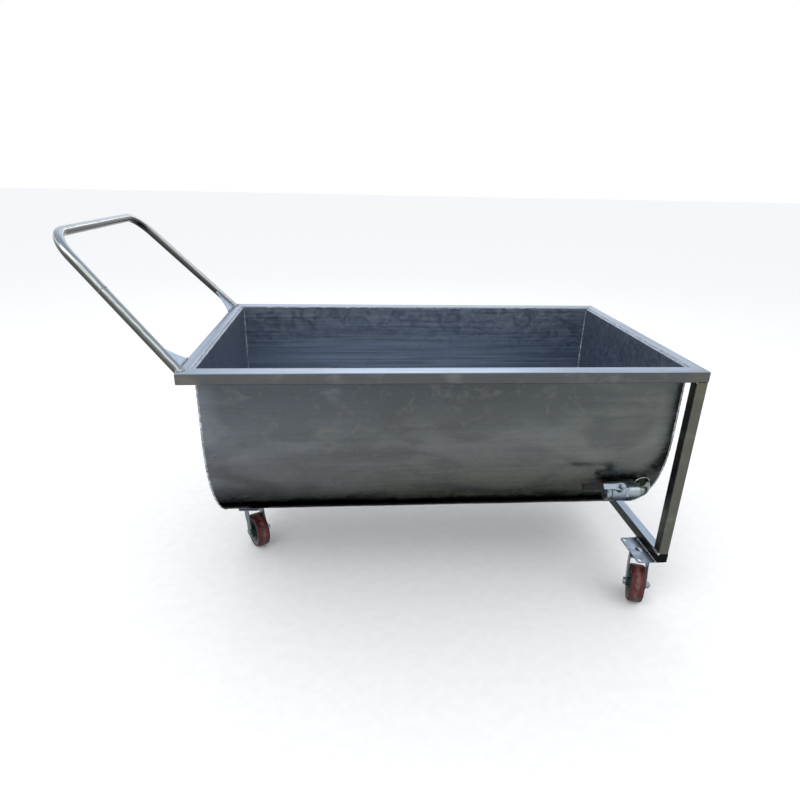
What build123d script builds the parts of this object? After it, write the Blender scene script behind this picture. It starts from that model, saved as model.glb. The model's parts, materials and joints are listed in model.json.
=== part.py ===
from build123d import *
import os
from math import cos, radians, sin, sqrt

os.makedirs("parts", exist_ok=True)

# A three-wheeled feed cart: a U-bottomed sheet tub hung in a tube rim, with a push handle at one
# end, two legs on a cross bar at the other, three swivel casters and a drain valve.
# X runs along the cart from the handle end to the leg end, Y from front to rear, Z up.
# The origin is on the floor under the middle of the cart's outline. All sizes are in millimetres.

# Rim, legs and cross bar
rim_length = 1200.0
rim_width = 710.0
tube_side = 27.0
long_rail_depth = 38.0
tube_wall = 1.5
tube_corner = 3.0
plug_head = 3.0
plug_insert = 18.0
plug_wall = 2.0
plug_slack = 0.2
plug_rounding = 1.0

# Tub
tub_depth = 501.0
tub_sheet = 1.5
tub_top_drop = 3.0
end_plate_inset = 32.5
end_flange_bend = 3.0

# Push handle
handle_radius = 11.0
handle_wall = 1.5
handle_reach = 248.0
handle_rise = 275.0
handle_foot_inset = 29.0
handle_top_width = 510.0
handle_bend = 75.0
handle_overrun = 30.0
gusset_thickness = 4.0
gusset_rail_leg = 81.0
gusset_tube_leg = 65.0
gusset_hollow = 3.0
gusset_seat = 1.0

# Casters
wheel_radius = 50.0
tread_width = 37.0
tread_depth = 9.0
tread_rounding = 5.0
hub_length = 43.0
hub_boss_radius = 12.0
hub_web = 6.0
hub_rim_width = 34.0
hub_rim_depth = 4.0
hub_ribs = 6
hub_rib = 3.0
axle_radius = 5.0
sleeve_radius = 7.5
running_fit = 0.05
side_play = 0.5
fork_sheet = 3.5
fork_bend = 7.0
fork_boss_radius = 13.0
fork_back = 24.0
caster_trail = 38.0
plate_length = 112.0
plate_width = 63.0
plate_thickness = 3.0
plate_corner = 8.0
slot_pitch_x = 43.4
slot_pitch_y = 90.6
slot_width = 9.0
slot_length = 13.0
race_radius = 21.0
race_depth = 5.0
race_skirt = 1.5
race_gap = 3.0
skirt_gap = 0.6
ball_radius = 2.75
ball_circle = 14.5
ball_count = 10
ball_slack = 0.15
kingpin_radius = 6.0
kingpin_head_radius = 12.5
kingpin_head = 4.0
kingpin_keeper = 4.0
keeper_radius = 11.0
moving_gap = 0.3
wheel_clearance = 13.2
axle_head_flats = 16.0
axle_head = 6.4
axle_nut = 8.0
axle_tail = 3.0

# Places of the casters and the angles that they trail at, seen from above
kingpin_setback = 17.0
kingpin_edge = 60.0
handle_kingpin = 72.5
side_trail_angle = 112.0
handle_trail_angle = -60.0
saddle_sheet = 4.0
saddle_slack = 3.0
head_clearance = 1.0

# Drain valve, with its stem leaning forwards
drain_angle = 64.0
drain_inset = 62.5
pipe_radius = 16.85
pipe_bore = 14.35
elbow_bend = 24.0
elbow_stub = 4.0
socket_radius = 19.5
socket_length = 28.0
socket_grip = 8.0
nipple_bore = 13.0
thread_slack = 0.05
valve_flats = 40.0
valve_inlet = 10.0
valve_inlet_thread = 8.0
valve_outlet = 12.0
valve_outlet_thread = 11.0
outlet_thread_radius = 15.15
barrel_radius = 24.0
barrel_half = 18.0
barrel_rounding = 4.0
hex_easing = 0.12
port_radius = 10.5
valve_ball_radius = 15.0
ball_flat = 14.0
seat_length = 4.2
cavity_slack = 0.2
stem_radius = 5.0
stem_lean = 45.0
neck_radius = 10.5
neck_height = 33.0
packing_flats = 17.0
packing_height = 6.0
lever_sheet = 3.0
lever_width = 14.0
lever_length = 100.0
lever_hub = 10.0
lever_step = 3.0
lever_step_start = 15.0
lever_step_end = 24.0
sleeve_start = 50.0
sleeve_wall = 2.5
lever_nut_flats = 13.0
lever_nut_height = 5.5
stem_tail = 1.0

# Heights and ends that follow from the sizes above
swivel_stack = plate_thickness + race_depth + race_gap + fork_sheet + moving_gap + kingpin_keeper
caster_height = 2 * wheel_radius + wheel_clearance + swivel_stack
bar_top = caster_height + tube_side
rim_top = bar_top + tub_depth
rim_left = -(rim_length - handle_reach - handle_radius) / 2
rim_right = rim_left + rim_length
rim_front = -rim_width / 2
tub_half_width = rim_width / 2 - long_rail_depth
tub_axis_z = bar_top + tub_half_width
tub_top = rim_top - tub_top_drop
tub_left = rim_left + end_plate_inset
tub_right = rim_right - end_plate_inset


def save(name, shape):
    """Write one piece, or one group of like pieces, to its own file."""
    shape.label = name
    export_step(shape, f"parts/{name}.step")


def block(x0, x1, y0, y1, z0, z1):
    """A plain block between two corners."""
    centre = ((x0 + x1) / 2, (y0 + y1) / 2, (z0 + z1) / 2)
    return Pos(*centre) * Box(x1 - x0, y1 - y0, z1 - z0)


def rod(radius, height):
    """A round bar that stands on its local XY plane."""
    return Cylinder(radius, height, align=(Align.CENTER, Align.CENTER, Align.MIN))


def tube_bar(plane, width, height, length):
    """A square or rectangular tube with rounded corners, centred on the plane's origin."""
    outer = RectangleRounded(width, height, tube_corner)
    inner = RectangleRounded(width - 2 * tube_wall, height - 2 * tube_wall, tube_corner - tube_wall)
    return extrude(plane * (outer - inner), amount=length)


def hex_prism(flats, height):
    """A hexagonal prism that stands on its local XY plane."""
    return extrude(RegularPolygon(flats / 2, 6, major_radius=False), amount=height)


# The four rim rails, mitred where they meet
def plan_wedge(points):
    """A tall prism over a plan outline, which cuts a rail's mitres."""
    outline = Plane.XY.offset(rim_top - 2 * tube_side) * make_face(Polyline(*points, close=True))
    return extrude(outline, amount=4 * tube_side)


def long_rail(side):
    """The front rail for side -1 and the rear rail for side 1."""
    outer_y = side * rim_width / 2
    inner_y = side * tub_half_width
    mid = (rim_left, (outer_y + inner_y) / 2, rim_top - tube_side / 2)
    bar = tube_bar(Plane(mid, x_dir=(0, 1, 0), z_dir=(1, 0, 0)), long_rail_depth, tube_side, rim_length)
    outline = [(rim_left, outer_y), (rim_right, outer_y)]
    outline += [(rim_right - tube_side, inner_y), (rim_left + tube_side, inner_y)]
    return bar & plan_wedge(outline)


def end_rail(outer_x, inward):
    """The rail at one end, where inward is the X direction to the middle of the cart."""
    inner_x = outer_x + inward * tube_side
    mid = ((outer_x + inner_x) / 2, rim_front, rim_top - tube_side / 2)
    bar = tube_bar(Plane(mid, x_dir=(1, 0, 0), z_dir=(0, 1, 0)), tube_side, tube_side, rim_width)
    outline = [(outer_x, rim_front), (inner_x, -tub_half_width)]
    outline += [(inner_x, tub_half_width), (outer_x, -rim_front)]
    return bar & plan_wedge(outline)


save("front_rail", long_rail(-1))
save("rear_rail", long_rail(1))
save("handle_end_rail", end_rail(rim_left, 1))
save("leg_end_rail", end_rail(rim_right, -1))


# Two legs stand on the cross bar, flush with the rim's outer faces
def leg(side):
    """The front leg for side -1 and the rear leg for side 1."""
    foot = (rim_right - tube_side / 2, side * (rim_width - tube_side) / 2, bar_top)
    height = rim_top - tube_side - bar_top
    return tube_bar(Plane(foot, x_dir=(1, 0, 0), z_dir=(0, 0, 1)), tube_side, tube_side, height)


save("front_leg", leg(-1))
save("rear_leg", leg(1))

bar_start = (rim_right - tube_side / 2, rim_front + plug_head, bar_top - tube_side / 2)
bar_plane = Plane(bar_start, x_dir=(1, 0, 0), z_dir=(0, 1, 0))
save("cross_bar", tube_bar(bar_plane, tube_side, tube_side, rim_width - 2 * plug_head))


def end_plug(side):
    """A moulded cap over one end of the cross bar, with a hollow square insert."""
    face = (bar_start[0], side * rim_width / 2, bar_start[2])
    plane = Plane(face, x_dir=(1, 0, 0), z_dir=(0, -side, 0))
    head = extrude(plane * RectangleRounded(tube_side, tube_side, tube_corner), amount=plug_head)
    head = fillet(head.faces().sort_by(Axis.Y)[0 if side < 0 else -1].edges(), plug_rounding)
    core = tube_side - 2 * tube_wall - 2 * plug_slack
    shell = RectangleRounded(core, core, tube_corner - tube_wall)
    hollow = Rectangle(core - 2 * plug_wall, core - 2 * plug_wall)
    insert = extrude(plane.offset(plug_head) * (shell - hollow), amount=plug_insert)
    return head + insert


save("front_end_plug", end_plug(-1))
save("rear_end_plug", end_plug(1))


# The tub: a sheet bent to a U, closed by two flat end plates
def u_outline(half_width, top):
    """The U of the tub's section, as a closed face across the cart at x = 0."""
    wall_left = Line((-half_width, top), (-half_width, tub_axis_z))
    bottom = ThreePointArc((-half_width, tub_axis_z), (0, tub_axis_z - half_width), (half_width, tub_axis_z))
    wall_right = Line((half_width, tub_axis_z), (half_width, top))
    lid = Line((half_width, top), (-half_width, top))
    return Plane.YZ * make_face([wall_left, bottom, wall_right, lid])


def u_solid(half_width, x0, x1, top):
    """A solid U between two stations along the cart."""
    return extrude(Pos(x0, 0, 0) * u_outline(half_width, top), amount=x1 - x0)


# The drain leaves the curved wall square to it, then turns along the cart towards the handle
drain_out = Vector(0, -sin(radians(drain_angle)), -cos(radians(drain_angle)))
drain_x = tub_right - drain_inset + elbow_bend
drain_centre = Vector(drain_x, 0, tub_axis_z)
elbow_corner = drain_centre + drain_out * (tub_half_width + elbow_stub + elbow_bend)
drain_hole = Plane(drain_centre, z_dir=drain_out) * rod(pipe_bore, 2 * tub_half_width)

sheet_left = tub_left + tub_sheet
sheet_right = tub_right - tub_sheet
tub_inside = u_solid(tub_half_width - tub_sheet, sheet_left, sheet_right, rim_top)
tub_u = u_solid(tub_half_width, sheet_left, sheet_right, tub_top) - tub_inside
save("tub_sheet", tub_u - drain_hole)


def end_plate(x0, x1, flange_to):
    """A flat U-shaped plate with its top edge folded outwards to the end rail."""
    plate = u_solid(tub_half_width, x0, x1, tub_top)
    low, high = min(flange_to, x0), max(flange_to, x1)
    flange = block(low, high, -tub_half_width, tub_half_width, tub_top - tub_sheet, tub_top)
    joined = plate + flange
    inner_x, outer_x = (x1, x0) if flange_to < x0 else (x0, x1)
    edges = joined.edges().filter_by(Axis.Y)
    outside = [e for e in edges if abs(e.center().X - inner_x) + abs(e.center().Z - tub_top) < tub_sheet / 2]
    joined = fillet(outside, end_flange_bend)
    low_face = tub_top - tub_sheet
    edges = joined.edges().filter_by(Axis.Y)
    inside = [e for e in edges if abs(e.center().X - outer_x) + abs(e.center().Z - low_face) < tub_sheet / 2]
    return fillet(inside, end_flange_bend - tub_sheet)


save("handle_end_plate", end_plate(tub_left, sheet_left, rim_left + tube_side))
save("leg_end_plate", end_plate(sheet_right, tub_right, rim_right - tube_side))

# The push handle: one bent round tube, notched over the outer top corner of the end rail
handle_up = Vector(-handle_reach, 0, handle_rise).normalized()
foot_half = rim_width / 2 - handle_foot_inset
top_half = handle_top_width / 2
leg_run = sqrt(handle_reach**2 + handle_rise**2)
foot = Vector(rim_left, -foot_half, rim_top)
shoulder = Vector(rim_left - handle_reach, -top_half, rim_top + handle_rise)
leg_way = (shoulder - foot).normalized()
low_end = foot - leg_way * handle_overrun


def mirrored(point):
    """The same point on the rear side."""
    return Vector(point.X, -point.Y, point.Z)


handle_path = FilletPolyline(low_end, shoulder, mirrored(shoulder), mirrored(low_end), radius=handle_bend)
handle_start = Plane(low_end, z_dir=leg_way)
handle_solid = sweep(handle_start * Circle(handle_radius), path=handle_path)
handle_hollow = sweep(handle_start * Circle(handle_radius - handle_wall), path=handle_path)
rail_corner = block(rim_left, rim_right, rim_front, -rim_front, bar_top, rim_top)
save("push_handle", (handle_solid - handle_hollow) - rail_corner)


def gusset(side):
    """A flat corner plate between the handle's leg and the end rail, in the handle's plane."""
    lean = (foot_half - top_half) / leg_run
    tilt = sqrt(1 + lean**2)

    def tube_edge(v):
        """How far along the rail the tube's near side lies at height v up the handle."""
        return handle_radius * tilt + v * lean

    inward = Vector(0, -side, 0)
    plane = Plane((rim_left, side * foot_half, rim_top), x_dir=inward, z_dir=inward.cross(handle_up))
    corner = (tube_edge(-gusset_seat), -gusset_seat)
    on_tube = (tube_edge(gusset_tube_leg), gusset_tube_leg)
    on_rail = (gusset_rail_leg, -gusset_seat)
    across = (on_tube[0] + on_rail[0]) / 2 - gusset_hollow
    up = (on_tube[1] + on_rail[1]) / 2 - gusset_hollow
    outline = [Line(corner, on_tube), ThreePointArc(on_tube, (across, up), on_rail), Line(on_rail, corner)]
    return extrude(plane * make_face(outline), amount=gusset_thickness / 2, both=True)


save("front_gusset", gusset(-1))
save("rear_gusset", gusset(1))

# A folded saddle carries the handle-end caster under the round bottom of the tub
saddle_x = rim_left + handle_kingpin
saddle_half = plate_width / 2 - saddle_slack
saddle_left = max(saddle_x - saddle_half, tub_left)
saddle_right = saddle_x + saddle_half
saddle_reach = plate_length / 2 - saddle_slack
saddle = block(saddle_left, saddle_right, -saddle_reach, saddle_reach, caster_height, tub_axis_z)
saddle_gap = block(
    saddle_left + saddle_sheet,
    saddle_right - saddle_sheet,
    -saddle_reach,
    saddle_reach,
    caster_height + saddle_sheet,
    tub_axis_z,
)
head_hole = Cylinder(kingpin_head_radius + head_clearance, 4 * saddle_sheet)
saddle_hole = Pos(saddle_x, 0, caster_height) * head_hole
tub_barrel = Pos(saddle_x, 0, tub_axis_z) * Rot(0, 90, 0) * Cylinder(tub_half_width, 2 * plate_width)
save("caster_saddle", saddle - saddle_gap - saddle_hole - tub_barrel)

# Heights inside a caster
plate_low = caster_height - plate_thickness
race_low = plate_low - race_depth
crown_top = race_low - race_gap
crown_low = crown_top - fork_sheet
ball_height = (race_low + crown_top) / 2
fork_inner = hub_length / 2 + side_play
fork_outer = fork_inner + fork_sheet


def ring(outer, inner, z0, z1):
    """A ring about the caster's upright axis."""
    return Pos(0, 0, (z0 + z1) / 2) * (Cylinder(outer, z1 - z0) - Cylinder(inner, z1 - z0))


def caster_plate():
    """The top plate, with four slots for bolts."""
    outline = RectangleRounded(plate_width, plate_length, plate_corner) - Circle(kingpin_radius)
    slot = SlotOverall(slot_length, slot_width, rotation=90)
    outline -= GridLocations(slot_pitch_x, slot_pitch_y, 2, 2) * slot
    return extrude(Pos(0, 0, plate_low) * outline, amount=plate_thickness)


def ball_groove():
    """The round track that the swivel's balls roll in."""
    section = Pos(ball_circle, 0, ball_height) * Rot(90, 0, 0) * Circle(ball_radius + ball_slack)
    return revolve(section, Axis.Z)


def upper_race():
    """The pressed cup under the plate, with a skirt that hides the balls."""
    body = ring(race_radius, kingpin_radius, race_low, plate_low)
    skirt = ring(race_radius, race_radius - race_skirt, crown_top + skirt_gap, race_low)
    return (body + skirt) - ball_groove()


def kingpin():
    """The riveted pin that holds the fork up to the plate, with a domed head on top."""
    keeper_top = crown_low - moving_gap
    shank = Pos(0, 0, keeper_top) * rod(kingpin_radius, caster_height - keeper_top)
    keeper = Pos(0, 0, keeper_top - kingpin_keeper) * rod(keeper_radius, kingpin_keeper)
    dome_radius = (kingpin_head_radius**2 + kingpin_head**2) / (2 * kingpin_head)
    dome = Pos(0, 0, caster_height + kingpin_head - dome_radius) * Sphere(dome_radius)
    above = Pos(0, 0, caster_height) * rod(kingpin_head_radius, kingpin_head)
    return shank + keeper + (dome & above)


def swivel_balls():
    """The balls between the cup and the fork."""
    places = PolarLocations(ball_circle, ball_count)
    return Compound(children=[Pos(0, 0, ball_height) * place * Sphere(ball_radius) for place in places])


def fork():
    """The pressed fork: a crown under the cup and two legs down to the axle, from one sheet."""
    reach = caster_trail + fork_boss_radius
    tall = crown_top - wheel_radius + fork_boss_radius
    outer = RectangleRounded(2 * fork_outer, 2 * tall, fork_bend)
    inner = RectangleRounded(2 * fork_inner, 2 * (tall - fork_sheet), fork_bend - fork_sheet)
    section = Plane((-fork_back, 0, crown_top - tall), x_dir=(0, 1, 0), z_dir=(1, 0, 0)) * (outer - inner)
    channel = extrude(section, amount=fork_back + reach)
    low = wheel_radius
    side_edges = [
        CenterArc((caster_trail, low), fork_boss_radius, 0, 360),
        Line((-fork_back, crown_top), (fork_back, crown_top)),
        Line((-fork_back, crown_top), (-fork_back, crown_low - fork_sheet)),
        Line((fork_back, crown_top), (fork_back + fork_sheet, crown_low - fork_sheet)),
    ]
    side = Plane.XZ * make_hull(side_edges)
    profile = extrude(side, amount=2 * fork_outer, both=True)
    plan_edges = [
        CenterArc((0, 0), race_radius + fork_sheet, 0, 360),
        Line((reach, -fork_outer), (reach, fork_outer)),
    ]
    plan = extrude(make_hull(plan_edges), amount=caster_height)
    axle_hole = on_axle(Cylinder(axle_radius + running_fit, 3 * fork_outer), 0)
    pin_hole = Pos(0, 0, crown_low) * Cylinder(kingpin_radius + running_fit, 4 * fork_sheet)
    return (channel & profile & plan) - ball_groove() - axle_hole - pin_hole


def on_axle(shape, offset):
    """Turn a piece built along Z onto the axle, offset mm from the wheel's middle."""
    return Pos(caster_trail, offset, wheel_radius) * Rot(-90, 0, 0) * shape


def axle_bolt():
    """The axle: a hexagon bolt through both legs of the fork."""
    shank = on_axle(rod(axle_radius, 2 * fork_outer + axle_nut + axle_tail), -fork_outer)
    head = on_axle(hex_prism(axle_head_flats, axle_head), -fork_outer - axle_head)
    return head + shank


def axle_lock_nut():
    """The nut at the axle's far end."""
    nut = hex_prism(axle_head_flats, axle_nut)
    nut -= Cylinder(axle_radius + running_fit, 3 * axle_nut)
    return on_axle(nut, fork_outer)


def axle_sleeve():
    """The spacer that the fork clamps and the wheel turns on."""
    tube = Cylinder(sleeve_radius, 2 * fork_inner) - Cylinder(axle_radius + running_fit, 2 * fork_inner)
    return on_axle(tube, 0)


tread_inner = wheel_radius - tread_depth


def wheel_hub():
    """The moulded wheel centre: boss, web and rim, with ribs on both faces."""
    bore = sleeve_radius + running_fit
    boss = Cylinder(hub_boss_radius, hub_length)
    web = Cylinder(tread_inner - hub_rim_depth / 2, hub_web)
    rim = Cylinder(tread_inner, hub_rim_width) - Cylinder(tread_inner - hub_rim_depth, hub_rim_width)
    hub = boss + web + rim
    span = tread_inner - hub_rim_depth / 2 - hub_boss_radius
    middle = hub_boss_radius + span / 2 - hub_rim_depth / 4
    for place in PolarLocations(middle, hub_ribs):
        hub += place * Box(span, hub_rib, hub_rim_width - 2 * hub_rim_depth)
    return on_axle(hub - Cylinder(bore, 2 * hub_length), 0)


def wheel_tread():
    """The tyre cast round the hub, with rounded shoulders."""
    band = Cylinder(wheel_radius, tread_width)
    band = fillet(band.edges().filter_by(GeomType.CIRCLE), tread_rounding)
    return on_axle(band - Cylinder(tread_inner, 2 * tread_width), 0)


caster_pieces = {
    "plate": caster_plate,
    "upper_race": upper_race,
    "kingpin": kingpin,
    "swivel_balls": swivel_balls,
    "fork": fork,
    "axle_bolt": axle_bolt,
    "axle_nut": axle_lock_nut,
    "axle_sleeve": axle_sleeve,
    "wheel_hub": wheel_hub,
    "wheel_tread": wheel_tread,
}
kingpin_x = rim_right - tube_side - kingpin_setback
casters = {
    "front": (kingpin_x, rim_front + kingpin_edge, -side_trail_angle),
    "rear": (kingpin_x, -rim_front - kingpin_edge, side_trail_angle),
    "handle": (saddle_x, 0, handle_trail_angle),
}
fixed_pieces = ("plate", "upper_race", "kingpin")
for piece_name, build_piece in caster_pieces.items():
    piece = build_piece()
    for caster_name, (pin_x, pin_y, trail_angle) in casters.items():
        turn = 0 if piece_name in fixed_pieces else trail_angle
        save(f"{caster_name}_caster_{piece_name}", Pos(pin_x, pin_y, 0) * Rot(0, 0, turn) * piece)

# Drain elbow, welded over a hole in the curved wall
wall_start = drain_centre + drain_out * (tub_half_width - 2 * tub_sheet)
socket_end_x = drain_x - elbow_bend
elbow_end = Vector(socket_end_x - socket_grip, elbow_corner.Y, elbow_corner.Z)
elbow_path = FilletPolyline(wall_start, elbow_corner, elbow_end, radius=elbow_bend)
elbow_section = Plane(wall_start, z_dir=drain_out)
elbow = sweep(elbow_section * Circle(pipe_radius), path=elbow_path)
elbow -= sweep(elbow_section * Circle(pipe_bore), path=elbow_path)
tub_round = Pos(drain_x, 0, tub_axis_z) * Rot(0, 90, 0) * Cylinder(tub_half_width, 4 * pipe_radius)
save("drain_elbow", elbow - tub_round)

# Valve frame: local X along the pipe towards the tub's leg end, local Z up the stem
valve_x = socket_end_x - socket_length - valve_inlet - barrel_half
stem_up = Vector(0, -sin(radians(stem_lean)), cos(radians(stem_lean)))
valve_frame = Plane((valve_x, elbow_corner.Y, elbow_corner.Z), x_dir=(1, 0, 0), z_dir=stem_up)


def along_pipe(shape, x):
    """Turn a piece built along Z to lie along the pipe, starting at x in the valve's frame."""
    return Pos(x, 0, 0) * Rot(0, 90, 0) * shape


def pipe_ring(outer, inner, x0, x1):
    """A ring about the pipe's axis between two stations in the valve's frame."""
    return along_pipe(rod(outer, x1 - x0) - rod(inner, x1 - x0), x0)


def pipe_hex(flats, x0, x1):
    """A hexagon bar about the pipe's axis, with its corners eased."""
    bar = hex_prism(flats, x1 - x0)
    easing = rod(flats * (1 + hex_easing) / 2, x1 - x0)
    easing = chamfer(easing.edges().filter_by(GeomType.CIRCLE), flats * hex_easing / 2)
    return along_pipe(bar & easing, x0)


inlet_x = barrel_half + valve_inlet
outlet_x = -barrel_half - valve_outlet
socket_bore = pipe_radius + thread_slack
cavity_radius = valve_ball_radius + 4 * cavity_slack
cavity_end = valve_ball_radius + cavity_slack
drain_socket = pipe_ring(socket_radius, socket_bore, inlet_x, inlet_x + socket_length)
nipple_end = inlet_x + socket_length - 2 * socket_grip
drain_nipple = pipe_ring(pipe_radius, nipple_bore, inlet_x - valve_inlet_thread + cavity_slack, nipple_end)
stem_hole = rod(stem_radius + running_fit, 2 * neck_height)
port = along_pipe(rod(port_radius, 4 * barrel_half), -2 * barrel_half)

barrel = along_pipe(rod(barrel_radius, 2 * barrel_half), -barrel_half)
barrel = fillet(barrel.edges().filter_by(GeomType.CIRCLE), barrel_rounding)
valve_body = barrel + rod(neck_radius, neck_height)
valve_body += pipe_hex(valve_flats, barrel_half - barrel_rounding, inlet_x)
valve_body -= along_pipe(rod(cavity_radius, barrel_half + cavity_end), -barrel_half)
valve_body -= along_pipe(rod(socket_bore, valve_inlet_thread), inlet_x - valve_inlet_thread)
valve_body -= port + stem_hole

valve_outlet_end = pipe_hex(valve_flats, outlet_x, -barrel_half)
valve_outlet_end += pipe_ring(cavity_radius - thread_slack, port_radius, -barrel_half, -cavity_end)
valve_outlet_end -= port
valve_outlet_end -= along_pipe(rod(outlet_thread_radius, valve_outlet_thread), outlet_x)

ball_cut = Pos(0, 0, ball_flat) * rod(valve_ball_radius, valve_ball_radius)
valve_ball = Sphere(valve_ball_radius) - ball_cut - port
seat_ball = Sphere(valve_ball_radius + running_fit)
seat_start = cavity_end - seat_length
seat_ring = pipe_ring(cavity_radius - thread_slack, port_radius, seat_start, cavity_end) - seat_ball
valve_seats = Compound(children=[seat_ring, mirror(seat_ring, Plane.YZ)])

packing_nut = Pos(0, 0, neck_height) * hex_prism(packing_flats, packing_height)
packing_nut -= stem_hole
lever_low = neck_height + packing_height + moving_gap
lever_top = lever_low + lever_sheet
stem_top = lever_top + lever_nut_height + stem_tail
valve_stem = Pos(0, 0, ball_flat) * rod(stem_radius, stem_top - ball_flat)

# The lever is one strip with a small step, and its sleeve slips over the end
lever_line = [
    (lever_hub, lever_low),
    (-lever_step_start, lever_low),
    (-lever_step_end, lever_low + lever_step),
    (-lever_length, lever_low + lever_step),
    (-lever_length, lever_top + lever_step),
    (-lever_step_end, lever_top + lever_step),
    (-lever_step_start, lever_top),
    (lever_hub, lever_top),
]
lever_side = Plane.XZ * make_face(Polyline(*lever_line, close=True))
lever_strip = extrude(lever_side, amount=lever_hub, both=True)
lever_plan_edges = [
    CenterArc((0, 0), lever_hub, 0, 360),
    Line((-lever_step_end, -lever_width / 2), (-lever_step_end, lever_width / 2)),
]
lever_grip = Rectangle(lever_length - lever_step_end, lever_width)
lever_grip = Pos(-(lever_length + lever_step_end) / 2, 0, 0) * lever_grip
lever_plan = extrude(make_hull(lever_plan_edges) + lever_grip, amount=2 * stem_top)
valve_lever = (lever_strip & lever_plan) - Cylinder(stem_radius + running_fit, 4 * stem_top)

sleeve_length = lever_length - sleeve_start + sleeve_wall
sleeve_section = RectangleRounded(lever_width + 2 * sleeve_wall, lever_sheet + 2 * sleeve_wall, sleeve_wall)
sleeve_mid = lever_low + lever_step + lever_sheet / 2
sleeve_plane = Plane((-sleeve_start, 0, sleeve_mid), x_dir=(0, 1, 0), z_dir=(-1, 0, 0))
lever_sleeve = extrude(sleeve_plane * sleeve_section, amount=sleeve_length)
lever_sleeve = fillet(lever_sleeve.faces().sort_by(Axis.X)[0].edges(), sleeve_wall / 2)
lever_sleeve -= lever_strip & lever_plan
lever_nut = Pos(0, 0, lever_top) * hex_prism(lever_nut_flats, lever_nut_height)
lever_nut -= Cylinder(stem_radius + running_fit, 4 * stem_top)

valve_pieces = {
    "drain_socket": drain_socket,
    "drain_nipple": drain_nipple,
    "valve_body": valve_body,
    "valve_outlet_end": valve_outlet_end,
    "valve_ball": valve_ball,
    "valve_seats": valve_seats,
    "valve_stem": valve_stem,
    "valve_packing_nut": packing_nut,
    "valve_lever": valve_lever,
    "valve_lever_sleeve": lever_sleeve,
    "valve_lever_nut": lever_nut,
}
for piece_name, piece in valve_pieces.items():
    save(piece_name, valve_frame * piece)
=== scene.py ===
"""Dresses the feed cart: sheet, tube, casters, valve and welds, with the stage and the camera.

All places are in metres in the frame's own axes: X along the cart, Y from front to rear, Z up.
"""

import json
import math

import bmesh
import bpy
from mathutils import Matrix, Vector

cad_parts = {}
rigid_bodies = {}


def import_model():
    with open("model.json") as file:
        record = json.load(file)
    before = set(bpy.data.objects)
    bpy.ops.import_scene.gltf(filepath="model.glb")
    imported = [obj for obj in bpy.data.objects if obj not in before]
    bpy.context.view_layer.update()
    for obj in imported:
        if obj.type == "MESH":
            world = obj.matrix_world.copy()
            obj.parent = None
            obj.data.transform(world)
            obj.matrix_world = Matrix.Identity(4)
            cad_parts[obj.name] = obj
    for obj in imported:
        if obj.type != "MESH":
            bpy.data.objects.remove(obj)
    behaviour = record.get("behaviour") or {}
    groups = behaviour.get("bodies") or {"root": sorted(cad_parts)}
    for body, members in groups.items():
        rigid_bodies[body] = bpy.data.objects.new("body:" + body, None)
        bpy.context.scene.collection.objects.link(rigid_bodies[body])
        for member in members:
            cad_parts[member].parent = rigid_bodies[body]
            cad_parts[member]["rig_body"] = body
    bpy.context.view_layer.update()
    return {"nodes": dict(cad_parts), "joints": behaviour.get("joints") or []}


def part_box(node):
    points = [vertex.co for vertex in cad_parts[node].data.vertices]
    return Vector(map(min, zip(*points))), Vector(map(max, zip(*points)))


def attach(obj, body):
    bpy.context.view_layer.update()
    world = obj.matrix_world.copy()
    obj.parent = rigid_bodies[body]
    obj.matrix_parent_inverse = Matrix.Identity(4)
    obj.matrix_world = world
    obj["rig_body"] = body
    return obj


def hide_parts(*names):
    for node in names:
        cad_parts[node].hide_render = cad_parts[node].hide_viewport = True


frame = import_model()

bl_info = {
    "name": "Feed cart",
    "version": (1, 0, 0),
    "blender": (4, 5, 0),
    "location": "3D View > Sidebar > Feed cart",
    "description": "Dresses a three-wheeled sheet-steel feed cart",
    "category": "Object",
}

MM = 0.001
NODES = frame["nodes"]
JOINTS = {joint["name"]: joint for joint in frame["joints"]}
CASTERS = ("front", "rear", "handle")

# Places that the frame gives
RAIL_LOW, RAIL_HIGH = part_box("front_rail")
RIM_LEFT, RIM_RIGHT = RAIL_LOW.x, RAIL_HIGH.x
RIM_FRONT, RIM_TOP = RAIL_LOW.y, RAIL_HIGH.z
TUBE = RAIL_HIGH.z - RAIL_LOW.z
RIM_MIDDLE = (RIM_LEFT + RIM_RIGHT) / 2
TUB_LOW, TUB_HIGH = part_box("tub_sheet")
TUB_RADIUS = TUB_HIGH.y
TUB_AXIS = TUB_LOW.z + TUB_RADIUS
LEG_LOW, LEG_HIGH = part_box("front_leg")


def srgb(code):
    """An sRGB hex colour as linear red, green and blue."""
    channels = [int(code[i : i + 2], 16) / 255 for i in (1, 3, 5)]
    return [c / 12.92 if c <= 0.04045 else ((c + 0.055) / 1.055) ** 2.4 for c in channels]


# Settings that a user would change
def length(text, about, default):
    """A length property, in metres."""
    return bpy.props.FloatProperty(name=text, description=about, default=default, unit="LENGTH", precision=5)


def colour(text, about, code):
    """A colour property, from an sRGB hex code."""
    return bpy.props.FloatVectorProperty(
        name=text, description=about, default=srgb(code), size=3, subtype="COLOR", min=0.0, max=1.0
    )


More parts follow.
